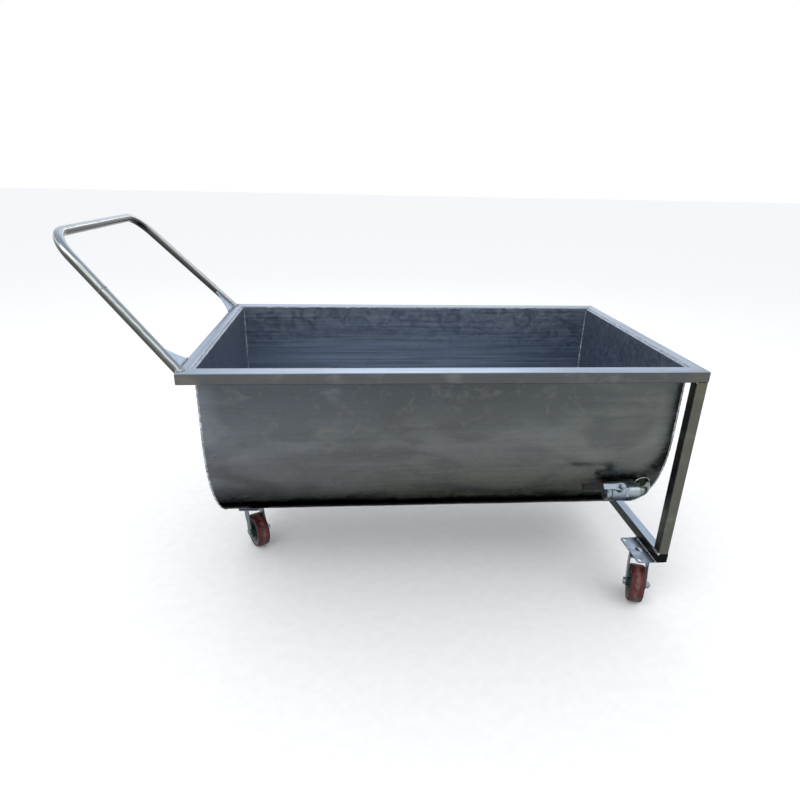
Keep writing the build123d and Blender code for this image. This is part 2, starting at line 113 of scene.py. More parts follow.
class TubSettings(bpy.types.PropertyGroup):
    """Sizes of the bent tub sheet."""

    sheet: length("Sheet", "Thickness of the tub's sheet", 1.5 * MM)
    wave_height: length("Wave height", "How far the thin sheet bulges in and out", 0.7 * MM)
    wave_spacing: length("Wave spacing", "Distance between the sheet's bulges", 190 * MM)
    drain_bore: length("Drain bore", "Radius of the drain's hole in the sheet", 14.35 * MM)
    # Painted reflection and shade: the upright, outside and low-wall colours stand in for a dark ground seen in the
    # steel, the underside colour is painted shade, and the inside's blue-grey is a painted sky reflection.
    upright: colour("Upright wall", "Colour of the outside wall below the rim", "#404448")
    outside: colour("Outside", "Colour of the tub's outside", "#626565")
    warm: colour("Low wall", "Colour of the outside wall where it turns under", "#60625c")
    under: colour("Underside", "Colour of the tub's underside", "#16191a")
    inside: colour("Inside", "Colour of the tub's inside", "#98a3b2")


class TubeSettings(bpy.types.PropertyGroup):
    """Sizes and colours of the rim's tubes and the handle."""

    handle_radius: length("Handle radius", "Radius of the handle's tube", 11 * MM)
    handle_bend: length("Handle bend", "Bend radius of the handle's tube", 75 * MM)
    handle_top: length("Handle top", "Width of the handle at its top", 510 * MM)
    foot_inset: length("Foot inset", "Distance of the handle's foot from the rim's side", 29 * MM)
    splice: length("Splice", "Distance of the handle's splice from its foot", 224 * MM)
    gusset_on_rail: length("Gusset on rail", "How far the gusset reaches along the rail", 81 * MM)
    gusset_on_tube: length("Gusset on tube", "How far the gusset reaches up the tube", 65 * MM)
    gusset_sheet: length("Gusset sheet", "Thickness of the gusset", 4 * MM)
    # Painted reflection and shade by facing: the pale blue top stands in for the sky seen in upward faces, the side and
    # leg greys for a dark ground seen in upright faces, and the under colour is painted shade on downward faces.
    top_face: colour("Top faces", "Colour of the tubes' upward faces", "#a6b7cf")
    side_face: colour("Side faces", "Colour of the tubes' upright faces", "#55585a")
    under_face: colour("Under faces", "Colour of the tubes' downward faces", "#2c3032")
    leg_face: colour("Leg faces", "Colour of the legs' upright faces", "#5a5b53")


class WeldSettings(bpy.types.PropertyGroup):
    """Sizes of the weld beads."""

    bead: length("Bead", "Radius of a fillet weld's bead", 3.0 * MM)
    pitch: length("Ripple pitch", "Distance between the ripples of a bead", 2.3 * MM)
    seam: length("Seam", "Radius of a thin seam's bead", 1.3 * MM)
    seam_pitch: length("Seam pitch", "Distance between the rings of a thin seam", 2.6 * MM)
    tack: length("Tack", "Radius of a tack mark", 2.4 * MM)
    tack_pitch: length("Tack pitch", "Distance between tack marks", 24 * MM)
    seed: bpy.props.IntProperty(name="Seed", description="Start of the welds' random sizes", default=7, min=0)


class CasterSettings(bpy.types.PropertyGroup):
    """Sizes and colours of the casters' wheels."""

    tread: colour("Tread", "Colour of the tread", "#551f21")
    tread_worn: colour("Worn tread", "Colour of the dusty band round the tread's middle", "#70544f")
    hub: colour("Wheel centre", "Colour of the moulded wheel centre", "#1f3236")
    hub_ring: colour("Wheel centre's ring", "Colour of the ring round the wheel centre", "#7b8285")
    crown: length("Crown", "How much lower the tread's edges are than its middle", 0.5 * MM)
    shoulder: length("Shoulder", "Radius of the tread's shoulders", 5 * MM)


class StageSettings(bpy.types.PropertyGroup):
    """Camera, lamps and floor."""

    place: bpy.props.FloatVectorProperty(
        name="Camera place", description="Where the camera stands", default=(-0.0905, -1.5549, 1.0675), unit="LENGTH"
    )
    heading: bpy.props.FloatProperty(
        name="Heading", description="Turn to the right", default=math.radians(4.66), subtype="ANGLE"
    )
    pitch: bpy.props.FloatProperty(
        name="Pitch", description="Tilt downwards", default=math.radians(21.74), subtype="ANGLE"
    )
    roll: bpy.props.FloatProperty(
        name="Roll", description="Turn about the line of sight", default=math.radians(1.3), subtype="ANGLE"
    )
    focal: bpy.props.FloatProperty(
        name="Focal length", description="Lens, in pixels of an 800 pixel picture", default=578.16, min=1.0
    )
    centre: bpy.props.FloatVectorProperty(
        name="Optical centre", description="Where the line of sight meets the picture", default=(396.11, 403.69), size=2
    )


class CartSettings(bpy.types.PropertyGroup):
    """All the feed cart's settings."""

    tub: bpy.props.PointerProperty(type=TubSettings, name="Tub", description="The tub's sheet")
    tube: bpy.props.PointerProperty(type=TubeSettings, name="Tubes", description="Rim, legs and handle")
    weld: bpy.props.PointerProperty(type=WeldSettings, name="Welds", description="Beads, seams and tacks")
    caster: bpy.props.PointerProperty(type=CasterSettings, name="Casters", description="Wheels and forks")
    stage: bpy.props.PointerProperty(type=StageSettings, name="Stage", description="Camera and light")


# Nodes and materials
def add(tree, kind, inputs=(), **settings):
    """Adds one node. inputs holds its sockets' values, or the sockets that feed them."""
    node = tree.nodes.new(kind)
    for key, value in settings.items():
        setattr(node, key, value)
    for key, value in dict(inputs).items():
        if isinstance(value, bpy.types.NodeSocket):
            tree.links.new(value, node.inputs[key])
        else:
            node.inputs[key].default_value = value
    return node


def solid(rgb):
    """A colour with full opacity."""
    return (*rgb, 1.0)


def blank(name):
    """A material with an empty node tree."""
    made = bpy.data.materials.new(name)
    made.use_nodes = True
    made.node_tree.nodes.clear()
    return made


def pattern(tree, size_mm, detail=4.0, roughness=0.55, distortion=0.0):
    """Noise whose grains measure size_mm along X, Y and Z."""
    place = add(tree, "ShaderNodeTexCoord").outputs["Object"]
    scale = [1.0 / (size * MM) for size in size_mm]
    mapped = add(tree, "ShaderNodeMapping", {"Vector": place, "Scale": scale}).outputs[0]
    settings = {"Vector": mapped, "Scale": 1.0, "Detail": detail, "Roughness": roughness, "Distortion": distortion}
    return add(tree, "ShaderNodeTexNoise", settings).outputs[0]


def ramp(tree, value, low, high, to_low=0.0, to_high=1.0):
    """Maps a value smoothly from one range to another."""
    limits = {"Value": value, "From Min": low, "From Max": high, "To Min": to_low, "To Max": to_high}
    return add(tree, "ShaderNodeMapRange", limits, interpolation_type="SMOOTHSTEP").outputs[0]


def blend(tree, factor, first, second, way="MIX"):
    """Mixes two colours."""
    return add(tree, "ShaderNodeMix", {0: factor, 6: first, 7: second}, data_type="RGBA", blend_type=way).outputs[2]


def bands(tree, value, low, high, stops):
    """Maps a value between two ends to a row of colours. Each stop has its value and its colour."""
    place = add(tree, "ShaderNodeMapRange", {"Value": value, "From Min": low, "From Max": high}).outputs[0]
    node = add(tree, "ShaderNodeValToRGB", {0: place})
    row = node.color_ramp.elements
    for element, (at, rgb) in zip((row[0], row[1]), (stops[0], stops[-1])):
        element.position = (at - low) / (high - low)
        element.color = solid(rgb)
    for at, rgb in stops[1:-1]:
        row.new((at - low) / (high - low)).color = solid(rgb)
    return node.outputs[0]


def finish(made, colour_socket, roughness, height=None, depth_mm=0.1, **fixed):
    """Ends a material with its shader, a bump of the stated depth and its fixed values."""
    tree = made.node_tree
    inputs = {"Base Color": colour_socket, "Roughness": roughness}
    if height is not None:
        bump = add(tree, "ShaderNodeBump", {"Height": height, "Distance": depth_mm * MM, "Strength": 1.0})
        inputs["Normal"] = bump.outputs[0]
    inputs.update({key.replace("_", " "): value for key, value in fixed.items()})
    shader = add(tree, "ShaderNodeBsdfPrincipled", inputs)
    add(tree, "ShaderNodeOutputMaterial", {"Surface": shader.outputs[0]})
    return made


def facing(tree):
    """The X, Y and Z parts of the way that a face points."""
    normal = add(tree, "ShaderNodeNewGeometry").outputs["Normal"]
    return add(tree, "ShaderNodeSeparateXYZ", {0: normal}).outputs


def rolled_stainless_outside(settings):
    """Cold-rolled stainless sheet, 2B finish: a dull mirror whose colour holds painted reflection and shade. Tones by
    height, warmer below and cooler above, stand in for a dark ground seen in the steel; a bluish painted reflection
    lies toward the left end, a dark painted reflection at the right end, and downward faces carry painted shade.
    """
    made = blank("rolled_stainless_outside")
    tree = made.node_tree
    streaks = pattern(tree, (420, 9, 9), detail=6.0)
    scratches = pattern(tree, (45, 1.4, 1.4), detail=3.0)
    clouds = pattern(tree, (300, 200, 120), detail=4.0, distortion=1.2)
    stains = pattern(tree, (55, 55, 40), detail=6.0, distortion=1.6)
    specks = pattern(tree, (6, 6, 6), detail=2.0)
    place = add(tree, "ShaderNodeTexCoord").outputs["Object"]
    across = add(tree, "ShaderNodeSeparateXYZ", {0: place}).outputs
    # Painted reflection: the wall's dark tones by height stand in for a dark ground seen in the steel, warmer low down
    # and coolest and darkest just below the rim.
    stops = [(0.2, settings.warm), (0.34, settings.warm), (0.46, settings.outside), (RIM_TOP - TUBE, settings.upright)]
    tone = bands(tree, across[2], 0.15, RIM_TOP, stops)
    # Painted reflection: bluish toward the left, with a paler bluish band at the left end itself.
    cool = ramp(tree, across[0], RIM_RIGHT - 0.5, RIM_LEFT, 0.0, 0.4)
    tone = blend(tree, cool, tone, solid(srgb("#595d68")))
    tone = blend(tree, ramp(tree, across[0], TUB_LOW.x + 0.05, TUB_LOW.x, 0.0, 0.5), tone, solid(srgb("#72757f")))
    # Paler greenish grey over the right half, then a dark painted reflection at the right end.
    tone = blend(tree, ramp(tree, across[0], 0.25, 0.6, 0.0, 0.5), tone, solid(srgb("#686c66")))
    tone = blend(tree, ramp(tree, across[0], TUB_HIGH.x - 0.05, TUB_HIGH.x, 0.0, 0.6), tone, solid(srgb("#434a4b")))
    tone = blend(tree, ramp(tree, clouds, 0.42, 0.62, 0.0, 0.6), tone, solid(srgb("#4a4d4e")))
    tone = blend(tree, ramp(tree, clouds, 0.44, 0.3, 0.0, 0.35), tone, solid(srgb("#73767a")))
    tone = blend(tree, ramp(tree, stains, 0.52, 0.7, 0.0, 0.3), tone, solid(srgb("#6f716a")))
    tone = blend(tree, ramp(tree, streaks, 0.4, 0.7, 0.0, 0.16), tone, solid(srgb("#3d4144")))
    tone = blend(tree, ramp(tree, scratches, 0.68, 0.8, 0.0, 0.2), tone, solid(srgb("#8b8f8d")))
    tone = blend(tree, ramp(tree, specks, 0.7, 0.76, 0.0, 0.6), tone, solid(srgb("#26292b")))
    # Painted shade: faces that point down turn near black where the wall curves under.
    tone = blend(tree, ramp(tree, facing(tree)[2], -0.6, -0.68), tone, solid(settings.under))
    rough = ramp(tree, stains, 0.3, 0.7, 0.2, 0.34)
    # The grey specular tint dims the grazing edges, a painted reflection of a dark ground.
    edge = solid(srgb("#555555"))
    return finish(made, tone, rough, clouds, 0.2, Metallic=1.0, Anisotropic=0.2, Specular_Tint=edge)


def rolled_stainless_inside(rgb):
    """The same sheet inside, scuffed dull by shovels, in a blue-grey that is a painted sky reflection."""
    made = blank("rolled_stainless_inside")
    tree = made.node_tree
    streaks = pattern(tree, (300, 6, 6), detail=6.0)
    scuffs = pattern(tree, (40, 28, 30), detail=8.0, distortion=1.4)
    tone = blend(tree, ramp(tree, streaks, 0.3, 0.7), solid([c * 0.72 for c in rgb]), solid([c * 1.15 for c in rgb]))
    tone = blend(tree, ramp(tree, scuffs, 0.56, 0.74, 0.0, 0.35), tone, solid(srgb("#77859a")))
    rough = ramp(tree, scuffs, 0.3, 0.7, 0.3, 0.48)
    return finish(made, tone, rough, scuffs, 0.08, Metallic=1.0, Anisotropic=0.3)


def satin_stainless_tube(name, settings, grain, inner_dark=False, leg_face=None):
    """Welded stainless tube, belt-ground satin: grain along the tube, a pale painted sky reflection where it faces up,
    painted reflection of a dark ground on its upright faces, painted shade where it faces down, and straw at the welds.
    """
    made = blank(name)
    tree = made.node_tree
    lines = pattern(tree, grain, detail=6.0)
    clouds = pattern(tree, (90, 60, 60), detail=3.0)
    way = facing(tree)
    side, top, under = leg_face or settings.side_face, settings.top_face, settings.under_face
    # Painted reflection and shade by facing: pale where the face points up, grey upright, darkest where it points down.
    tone = blend(tree, ramp(tree, way[2], 0.35, 0.85), solid(side), solid(top))
    tone = blend(tree, ramp(tree, way[2], -0.3, -0.8), tone, solid(under))
    # Painted shade on faces that point along -X.
    if inner_dark:
        tone = blend(tree, ramp(tree, way[0], -0.4, -0.85, 0.0, 0.85), tone, solid(srgb("#2f3436")))
    tone = blend(tree, ramp(tree, lines, 0.35, 0.65, 0.0, 0.28), tone, solid([c * 0.62 for c in side]))
    tone = blend(tree, ramp(tree, clouds, 0.5, 0.7, 0.0, 0.22), tone, solid(srgb("#8d9188")))
    place = add(tree, "ShaderNodeTexCoord").outputs["Object"]
    centred = add(tree, "ShaderNodeVectorMath", {0: place, 1: (RIM_MIDDLE, 0.0, 0.0)}, operation="SUBTRACT").outputs[0]
    folded = add(tree, "ShaderNodeVectorMath", {0: centred}, operation="ABSOLUTE").outputs[0]
    corner = (RIM_RIGHT - RIM_MIDDLE - TUBE / 2, -RIM_FRONT - TUBE / 2, RIM_TOP - TUBE)
    away = add(tree, "ShaderNodeVectorMath", {0: folded, 1: corner}, operation="DISTANCE").outputs["Value"]
    tone = blend(tree, ramp(tree, away, 0.06, 0.02, 0.0, 0.14), tone, solid(srgb("#8a7a63")))
    edge = ramp(tree, lines, 0.25, 0.75, 0.26, 0.42)
    return finish(made, tone, edge, lines, 0.04, Metallic=1.0, Anisotropic=0.6)


def polished_stainless_tube():
    """Drawn stainless tube, mopped bright, with painted light in bands by facing: painted shade on its underside, grey
    flanks, one thin painted highlight line and a painted sky reflection on top.
    """
    made = blank("polished_stainless_tube")
    tree = made.node_tree
    lines = pattern(tree, (70, 2, 70), detail=5.0)
    smears = pattern(tree, (38, 38, 38), detail=4.0, distortion=0.8)
    # Painted light by facing: the colour bands follow which way each face points, wobbled a little by the smears.
    wander = ramp(tree, smears, 0.3, 0.7, -0.025, 0.025)
    height = add(tree, "ShaderNodeMath", {0: facing(tree)[2], 1: wander}, operation="ADD").outputs[0]
    # Painted shade below, grey flanks, a thin white painted highlight near 0.48 and a pale painted sky reflection on
    # top.
    stops = [(-0.8, "#1b1c1c"), (-0.25, "#343633"), (0.1, "#5b5f5a"), (0.34, "#7b817e"), (0.43, "#a5acab")]
    stops += [(0.48, "#f6f8fa"), (0.55, "#b9c1c6"), (0.64, "#7f8a93"), (0.85, "#8f9dab"), (1.0, "#b9c5d0")]
    tone = bands(tree, height, -1.0, 1.0, [(at, srgb(code)) for at, code in stops])
    tone = blend(tree, ramp(tree, lines, 0.4, 0.7, 0.0, 0.25), tone, solid(srgb("#4d514f")))
    tone = blend(tree, ramp(tree, smears, 0.58, 0.72, 0.0, 0.35), tone, solid(srgb("#66655a")))
    rough = ramp(tree, smears, 0.3, 0.7, 0.1, 0.22)
    return finish(made, tone, rough, lines, 0.02, Metallic=1.0)


def cut_stainless_plate(settings):
    """Sheared stainless plate: faint rolling lines and blue-grey clouds, with a painted sky reflection on faces that
    point up and the tubes' painted side reflection on the rest.
    """
    made = blank("cut_stainless_plate")
    tree = made.node_tree
    lines = pattern(tree, (8, 60, 8), detail=5.0)
    clouds = pattern(tree, (30, 30, 30), detail=3.0, distortion=1.0)
    way = facing(tree)
    # Painted reflection by facing: the tubes' pale top tone on upward faces, their grey side tone elsewhere.
    tone = blend(tree, ramp(tree, way[2], 0.1, 0.6), solid(settings.side_face), solid(settings.top_face))
    tone = blend(tree, ramp(tree, clouds, 0.45, 0.7, 0.0, 0.35), tone, solid(srgb("#8f9dad")))
    rough = ramp(tree, lines, 0.3, 0.7, 0.3, 0.46)
    return finish(made, tone, rough, lines, 0.03, Metallic=1.0)


def weld_metal():
    """Fused stainless: bright ripples with straw, violet and grey heat colours."""
    made = blank("weld_metal")
    tree = made.node_tree
    patches = pattern(tree, (16, 16, 16), detail=3.0)
    soot = pattern(tree, (9, 9, 9), detail=5.0)
    tone = blend(tree, ramp(tree, patches, 0.35, 0.55), solid(srgb("#c3cad0")), solid(srgb("#8e9397")))
    tone = blend(tree, ramp(tree, patches, 0.56, 0.66, 0.0, 0.45), tone, solid(srgb("#8b806b")))
    tone = blend(tree, ramp(tree, patches, 0.66, 0.74, 0.0, 0.6), tone, solid(srgb("#525870")))
    tone = blend(tree, ramp(tree, soot, 0.58, 0.7), tone, solid(srgb("#303233")))
    rough = ramp(tree, soot, 0.3, 0.7, 0.3, 0.55)
    return finish(made, tone, rough, soot, 0.15, Metallic=1.0)


def zinc_plated_steel(name, dark, light):
    """Pressed mild steel with bright zinc plate: bluish, faintly clouded, with handling scratches, and painted light by
    facing: painted shade on upright and downward faces, a painted sky reflection on upward ones.
    """
    made = blank(name)
    tree = made.node_tree
    clouds = pattern(tree, (14, 14, 14), detail=4.0, distortion=0.7)
    scratches = pattern(tree, (1.2, 26, 9), detail=2.0)
    grime = pattern(tree, (5, 5, 5), detail=6.0)
    way = facing(tree)
    # Painted shade and sky reflection by facing: the dark tone below and at the sides, the light tone where faces point
    # up.
    tone = blend(tree, ramp(tree, way[2], 0.2, 0.8), solid(srgb(dark)), solid(srgb(light)))
    tone = blend(tree, ramp(tree, clouds, 0.35, 0.7, 0.0, 0.45), tone, solid(srgb("#6f7f86")))
    tone = blend(tree, ramp(tree, scratches, 0.66, 0.76, 0.0, 0.5), tone, solid(srgb("#d7dee2")))
    tone = blend(tree, ramp(tree, grime, 0.6, 0.72, 0.0, 0.5), tone, solid(srgb("#2b2f30")))
    rough = ramp(tree, clouds, 0.3, 0.7, 0.26, 0.44)
    return finish(made, tone, rough, grime, 0.04, Metallic=1.0)


def ground_steel():
    """Hardened steel, ground: plain bright grey."""
    made = blank("ground_steel")
    tree = made.node_tree
    lines = pattern(tree, (3, 3, 3), detail=4.0)
    tone = blend(tree, ramp(tree, lines, 0.3, 0.7), solid(srgb("#9ea3a6")), solid(srgb("#c3c7c9")))
    return finish(made, tone, ramp(tree, lines, 0.3, 0.7, 0.15, 0.25), lines, 0.01, Metallic=1.0)


def cast_stainless():
    """Investment-cast stainless: fine orange-peel skin with painted glints in small bright spots, darker blotches,
    painted shade on downward faces and a painted sky reflection on upward ones.
    """
    made = blank("cast_stainless")
    tree = made.node_tree
    skin = pattern(tree, (1.4, 1.4, 1.4), detail=3.0)
    clouds = pattern(tree, (9, 9, 9), detail=4.0, distortion=0.8)
    way = facing(tree)
    # Painted shade below and painted sky reflection above, by facing.
    tone = blend(tree, ramp(tree, way[2], -0.5, 0.55), solid(srgb("#333a3e")), solid(srgb("#9dabb8")))
    tone = blend(tree, ramp(tree, clouds, 0.5, 0.68, 0.0, 0.7), tone, solid(srgb("#3a4248")))
    # Painted glints: small bright spots on the skin.
    tone = blend(tree, ramp(tree, skin, 0.6, 0.75, 0.0, 0.6), tone, solid(srgb("#d5dde4")))
    return finish(made, tone, ramp(tree, clouds, 0.3, 0.7, 0.3, 0.46), skin, 0.12, Metallic=1.0)


def turned_fitting(name, low, high):
    """Turned stainless pipe fitting, with tool rings round the pipe and painted shade on its underside."""
    made = blank(name)
    tree = made.node_tree
    rings = pattern(tree, (0.9, 40, 40), detail=2.0)
    clouds = pattern(tree, (12, 12, 12), detail=3.0)
    way = facing(tree)
    # Painted shade by facing: the low tone on downward faces, the high tone on upward ones.
    tone = blend(tree, ramp(tree, way[2], -0.6, 0.5), solid(srgb(low)), solid(srgb(high)))
    tone = blend(tree, ramp(tree, clouds, 0.45, 0.7, 0.0, 0.3), tone, solid(srgb("#5f6a70")))
    return finish(made, tone, ramp(tree, clouds, 0.3, 0.7, 0.16, 0.28), rings, 0.02, Metallic=1.0)


def polyurethane_tread(settings):
    """Cast polyurethane: deep red with a soft sheen, dusty where it meets the floor, with painted shade on its
    shoulders and underside.
    """
    made = blank("polyurethane_tread")
    tree = made.node_tree
    across = add(tree, "ShaderNodeAttribute", attribute_name="across").outputs["Fac"]
    reach = add(tree, "ShaderNodeMath", {0: across}, operation="ABSOLUTE").outputs[0]
    scuffs = pattern(tree, (16, 16, 16), detail=3.0)
    fine = pattern(tree, (0.9, 0.9, 0.9), detail=3.0)
    way = facing(tree)
    rgb = settings.tread
    tone = blend(tree, ramp(tree, scuffs, 0.3, 0.7), solid([c * 0.55 for c in rgb]), solid([c * 1.25 for c in rgb]))
    # Painted shade: the shoulders darken toward the tread's edges.
    tone = blend(tree, ramp(tree, reach, 0.66, 0.9, 0.0, 0.6), tone, solid(srgb("#2c1315")))
    worn = ramp(tree, reach, 0.5, 0.1, 0.0, 0.8)
    dust = add(tree, "ShaderNodeMath", {0: worn, 1: ramp(tree, scuffs, 0.3, 0.6)}, operation="MULTIPLY").outputs[0]
    tone = blend(tree, dust, tone, solid(settings.tread_worn))
    # Painted shade: faces that point down turn near black.
    tone = blend(tree, ramp(tree, way[2], 0.15, -0.85, 0.0, 0.85), tone, solid(srgb("#180d0e")))
    grain = blend(tree, 0.35, scuffs, fine)
    rough = ramp(tree, scuffs, 0.3, 0.7, 0.36, 0.6)
    return finish(made, tone, rough, grain, 0.12, Specular_IOR_Level=0.3)


def moulded_wheel_centre(settings):
    """Moulded polypropylene: dark blue-green, with a rubbed grey ring and patches of dust."""
    made = blank("moulded_wheel_centre")
    tree = made.node_tree
    radius = add(tree, "ShaderNodeAttribute", attribute_name="radius").outputs["Fac"]
    dust = pattern(tree, (6, 6, 6), detail=6.0)
    fine = pattern(tree, (0.5, 0.5, 0.5), detail=2.0)
    rgb = settings.hub
    tone = blend(tree, ramp(tree, dust, 0.3, 0.7), solid([c * 0.7 for c in rgb]), solid([c * 1.3 for c in rgb]))
    tone = blend(tree, ramp(tree, radius, 0.0355, 0.0375), tone, solid(settings.hub_ring))
    tone = blend(tree, ramp(tree, dust, 0.6, 0.75, 0.0, 0.3), tone, solid(srgb("#6d6f68")))
    return finish(made, tone, ramp(tree, dust, 0.3, 0.7, 0.4, 0.6), fine, 0.03, Specular_IOR_Level=0.3)


def moulded_plug():
    """Moulded black polyethylene with a fine spark-eroded grain."""
    made = blank("moulded_plug")
    tree = made.node_tree
    grain = pattern(tree, (0.7, 0.7, 0.7), detail=3.0)
    dust = pattern(tree, (8, 8, 8), detail=5.0)
    tone = blend(tree, ramp(tree, dust, 0.4, 0.75), solid(srgb("#060708")), solid(srgb("#121415")))
    return finish(made, tone, ramp(tree, dust, 0.3, 0.7, 0.5, 0.7), grain, 0.04, Specular_IOR_Level=0.05)


def pressed_lever():
    """Pressed stainless lever, tumbled: grey with brighter rubbed spots, painted shade on downward faces and a painted
    sky reflection on upward ones.
    """
    made = blank("pressed_lever")
    tree = made.node_tree
    rub = pattern(tree, (5, 5, 5), detail=6.0)
    way = facing(tree)
    # Painted shade below and painted sky reflection above, by facing.
    tone = blend(tree, ramp(tree, way[2], -0.2, 0.6), solid(srgb("#3d4448")), solid(srgb("#8995a0")))
    tone = blend(tree, ramp(tree, rub, 0.55, 0.72, 0.0, 0.6), tone, solid(srgb("#c5ced5")))
    return finish(made, tone, ramp(tree, rub, 0.3, 0.7, 0.28, 0.46), rub, 0.05, Metallic=1.0)


def dipped_vinyl():
    """Plastisol dipped over the lever: red only along its top, where faces point up; painted shade makes all its other
    faces almost black, and dirt patches break up the red.
    """
    made = blank("dipped_vinyl")
    tree = made.node_tree
    runs = pattern(tree, (18, 7, 7), detail=3.0)
    dirt = pattern(tree, (9, 5, 5), detail=6.0)
    red = blend(tree, ramp(tree, runs, 0.3, 0.7), solid(srgb("#4a1315")), solid(srgb("#6d1f20")))
    # Painted light: the red shows only where faces point up, and all other faces are painted shade, almost black.
    clean = ramp(tree, facing(tree)[2], 0.72, 0.95)
    # The red's mask: the lit top, broken up by dirt patches.
    worn = add(tree, "ShaderNodeMath", {0: clean, 1: ramp(tree, dirt, 0.62, 0.4)}, operation="MULTIPLY").outputs[0]
    tone = blend(tree, worn, solid(srgb("#131415")), red)
    rough = ramp(tree, dirt, 0.3, 0.7, 0.35, 0.55)
    return finish(made, tone, rough, runs, 0.25, Specular_IOR_Level=0.2)


def turned_ptfe():
    """Turned PTFE: waxy white with fine tool rings."""
    made = blank("turned_ptfe")
    tree = made.node_tree
    rings = pattern(tree, (0.4, 20, 20), detail=2.0)
    tone = blend(tree, ramp(tree, rings, 0.3, 0.7), solid(srgb("#dcdcd6")), solid(srgb("#efefea")))
    return finish(made, tone, ramp(tree, rings, 0.3, 0.7, 0.35, 0.45), rings, 0.02)


# Meshes
def put(name, mesh, node=None, body="cart", materials=()):
    """Links a finished mesh as a piece, on a node's own body when it stands for one."""
    piece = bpy.data.objects.new(name, mesh)
    bpy.context.scene.collection.objects.link(piece)
    for made in materials:
        mesh.materials.append(made)
    if node:
        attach(piece, NODES[node]["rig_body"])
        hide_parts(node)
    else:
        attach(piece, body)
    return piece


def settled(worker, name):
    """The plain mesh that an object's modifiers give. The object itself is removed."""
    bpy.context.view_layer.update()
    graph = bpy.context.evaluated_depsgraph_get()
    mesh = bpy.data.meshes.new_from_object(worker.evaluated_get(graph))
    mesh.name = name
    bpy.data.objects.remove(worker)
    return mesh


def draft(name, mesh):
    """An object that only carries modifiers until its mesh is settled."""
    worker = bpy.data.objects.new(name, mesh)
    bpy.context.scene.collection.objects.link(worker)
    return worker


def from_bmesh(name, work):
    """A mesh from a bmesh, with its faces pointing outwards."""
    bmesh.ops.recalc_face_normals(work, faces=work.faces)
    mesh = bpy.data.meshes.new(name)
    work.to_mesh(mesh)
    work.free()
    return mesh


def smoothed(mesh, sharp_degrees=32):
    """Smooth shading, with creases left where faces meet more sharply than the angle."""
    mesh.shade_smooth()
    mesh.set_sharp_from_angle(angle=math.radians(sharp_degrees))
    return mesh


def refined(node, made, bevel_mm=0.4, sharp_degrees=32):
    """A merged copy of a node's mesh with eased edges and smooth shading, which stands for the node."""
    work = bmesh.new()
    work.from_mesh(NODES[node].data)
    bmesh.ops.remove_doubles(work, verts=work.verts, dist=0.002 * MM)
    bmesh.ops.dissolve_limit(work, angle_limit=math.radians(0.2), verts=work.verts, edges=work.edges)
    mesh = smoothed(from_bmesh(node + "_draft", work), sharp_degrees)
    mesh.materials.clear()
    worker = draft(node + "_draft", mesh)
    if bevel_mm:
        bevel = worker.modifiers.new("Eased edges", "BEVEL")
        bevel.width = bevel_mm * MM
        bevel.segments = 2
        bevel.limit_method = "ANGLE"
        bevel.angle_limit = math.radians(sharp_degrees)
        bevel.harden_normals = True
    return put(node + "_finished", settled(worker, node), node, materials=[made])


def paint(node, made):
    """Gives a CAD node's own slots a material."""
    for slot in NODES[node].material_slots:
        slot.material = made


def feed_tree(worker, tree, values):
    """Adds a node tree to an object and sets its inputs by their identifiers."""
    modifier = worker.modifiers.new(tree.name, "NODES")
    modifier.node_group = tree
    for item in tree.interface.items_tree:
        if item.in_out == "INPUT" and item.name in values:
            modifier[item.identifier] = values[item.name]


def new_tree(name, sockets):
    """An empty geometry tree with a geometry socket each way and the named inputs."""
    tree = bpy.data.node_groups.new(name, "GeometryNodeTree")
    tree.interface.new_socket("Geometry", in_out="INPUT", socket_type="NodeSocketGeometry")
    tree.interface.new_socket("Geometry", in_out="OUTPUT", socket_type="NodeSocketGeometry")
    for label, kind in sockets:
        tree.interface.new_socket(label, in_out="INPUT", socket_type="NodeSocket" + kind)
    return tree, add(tree, "NodeGroupInput").outputs


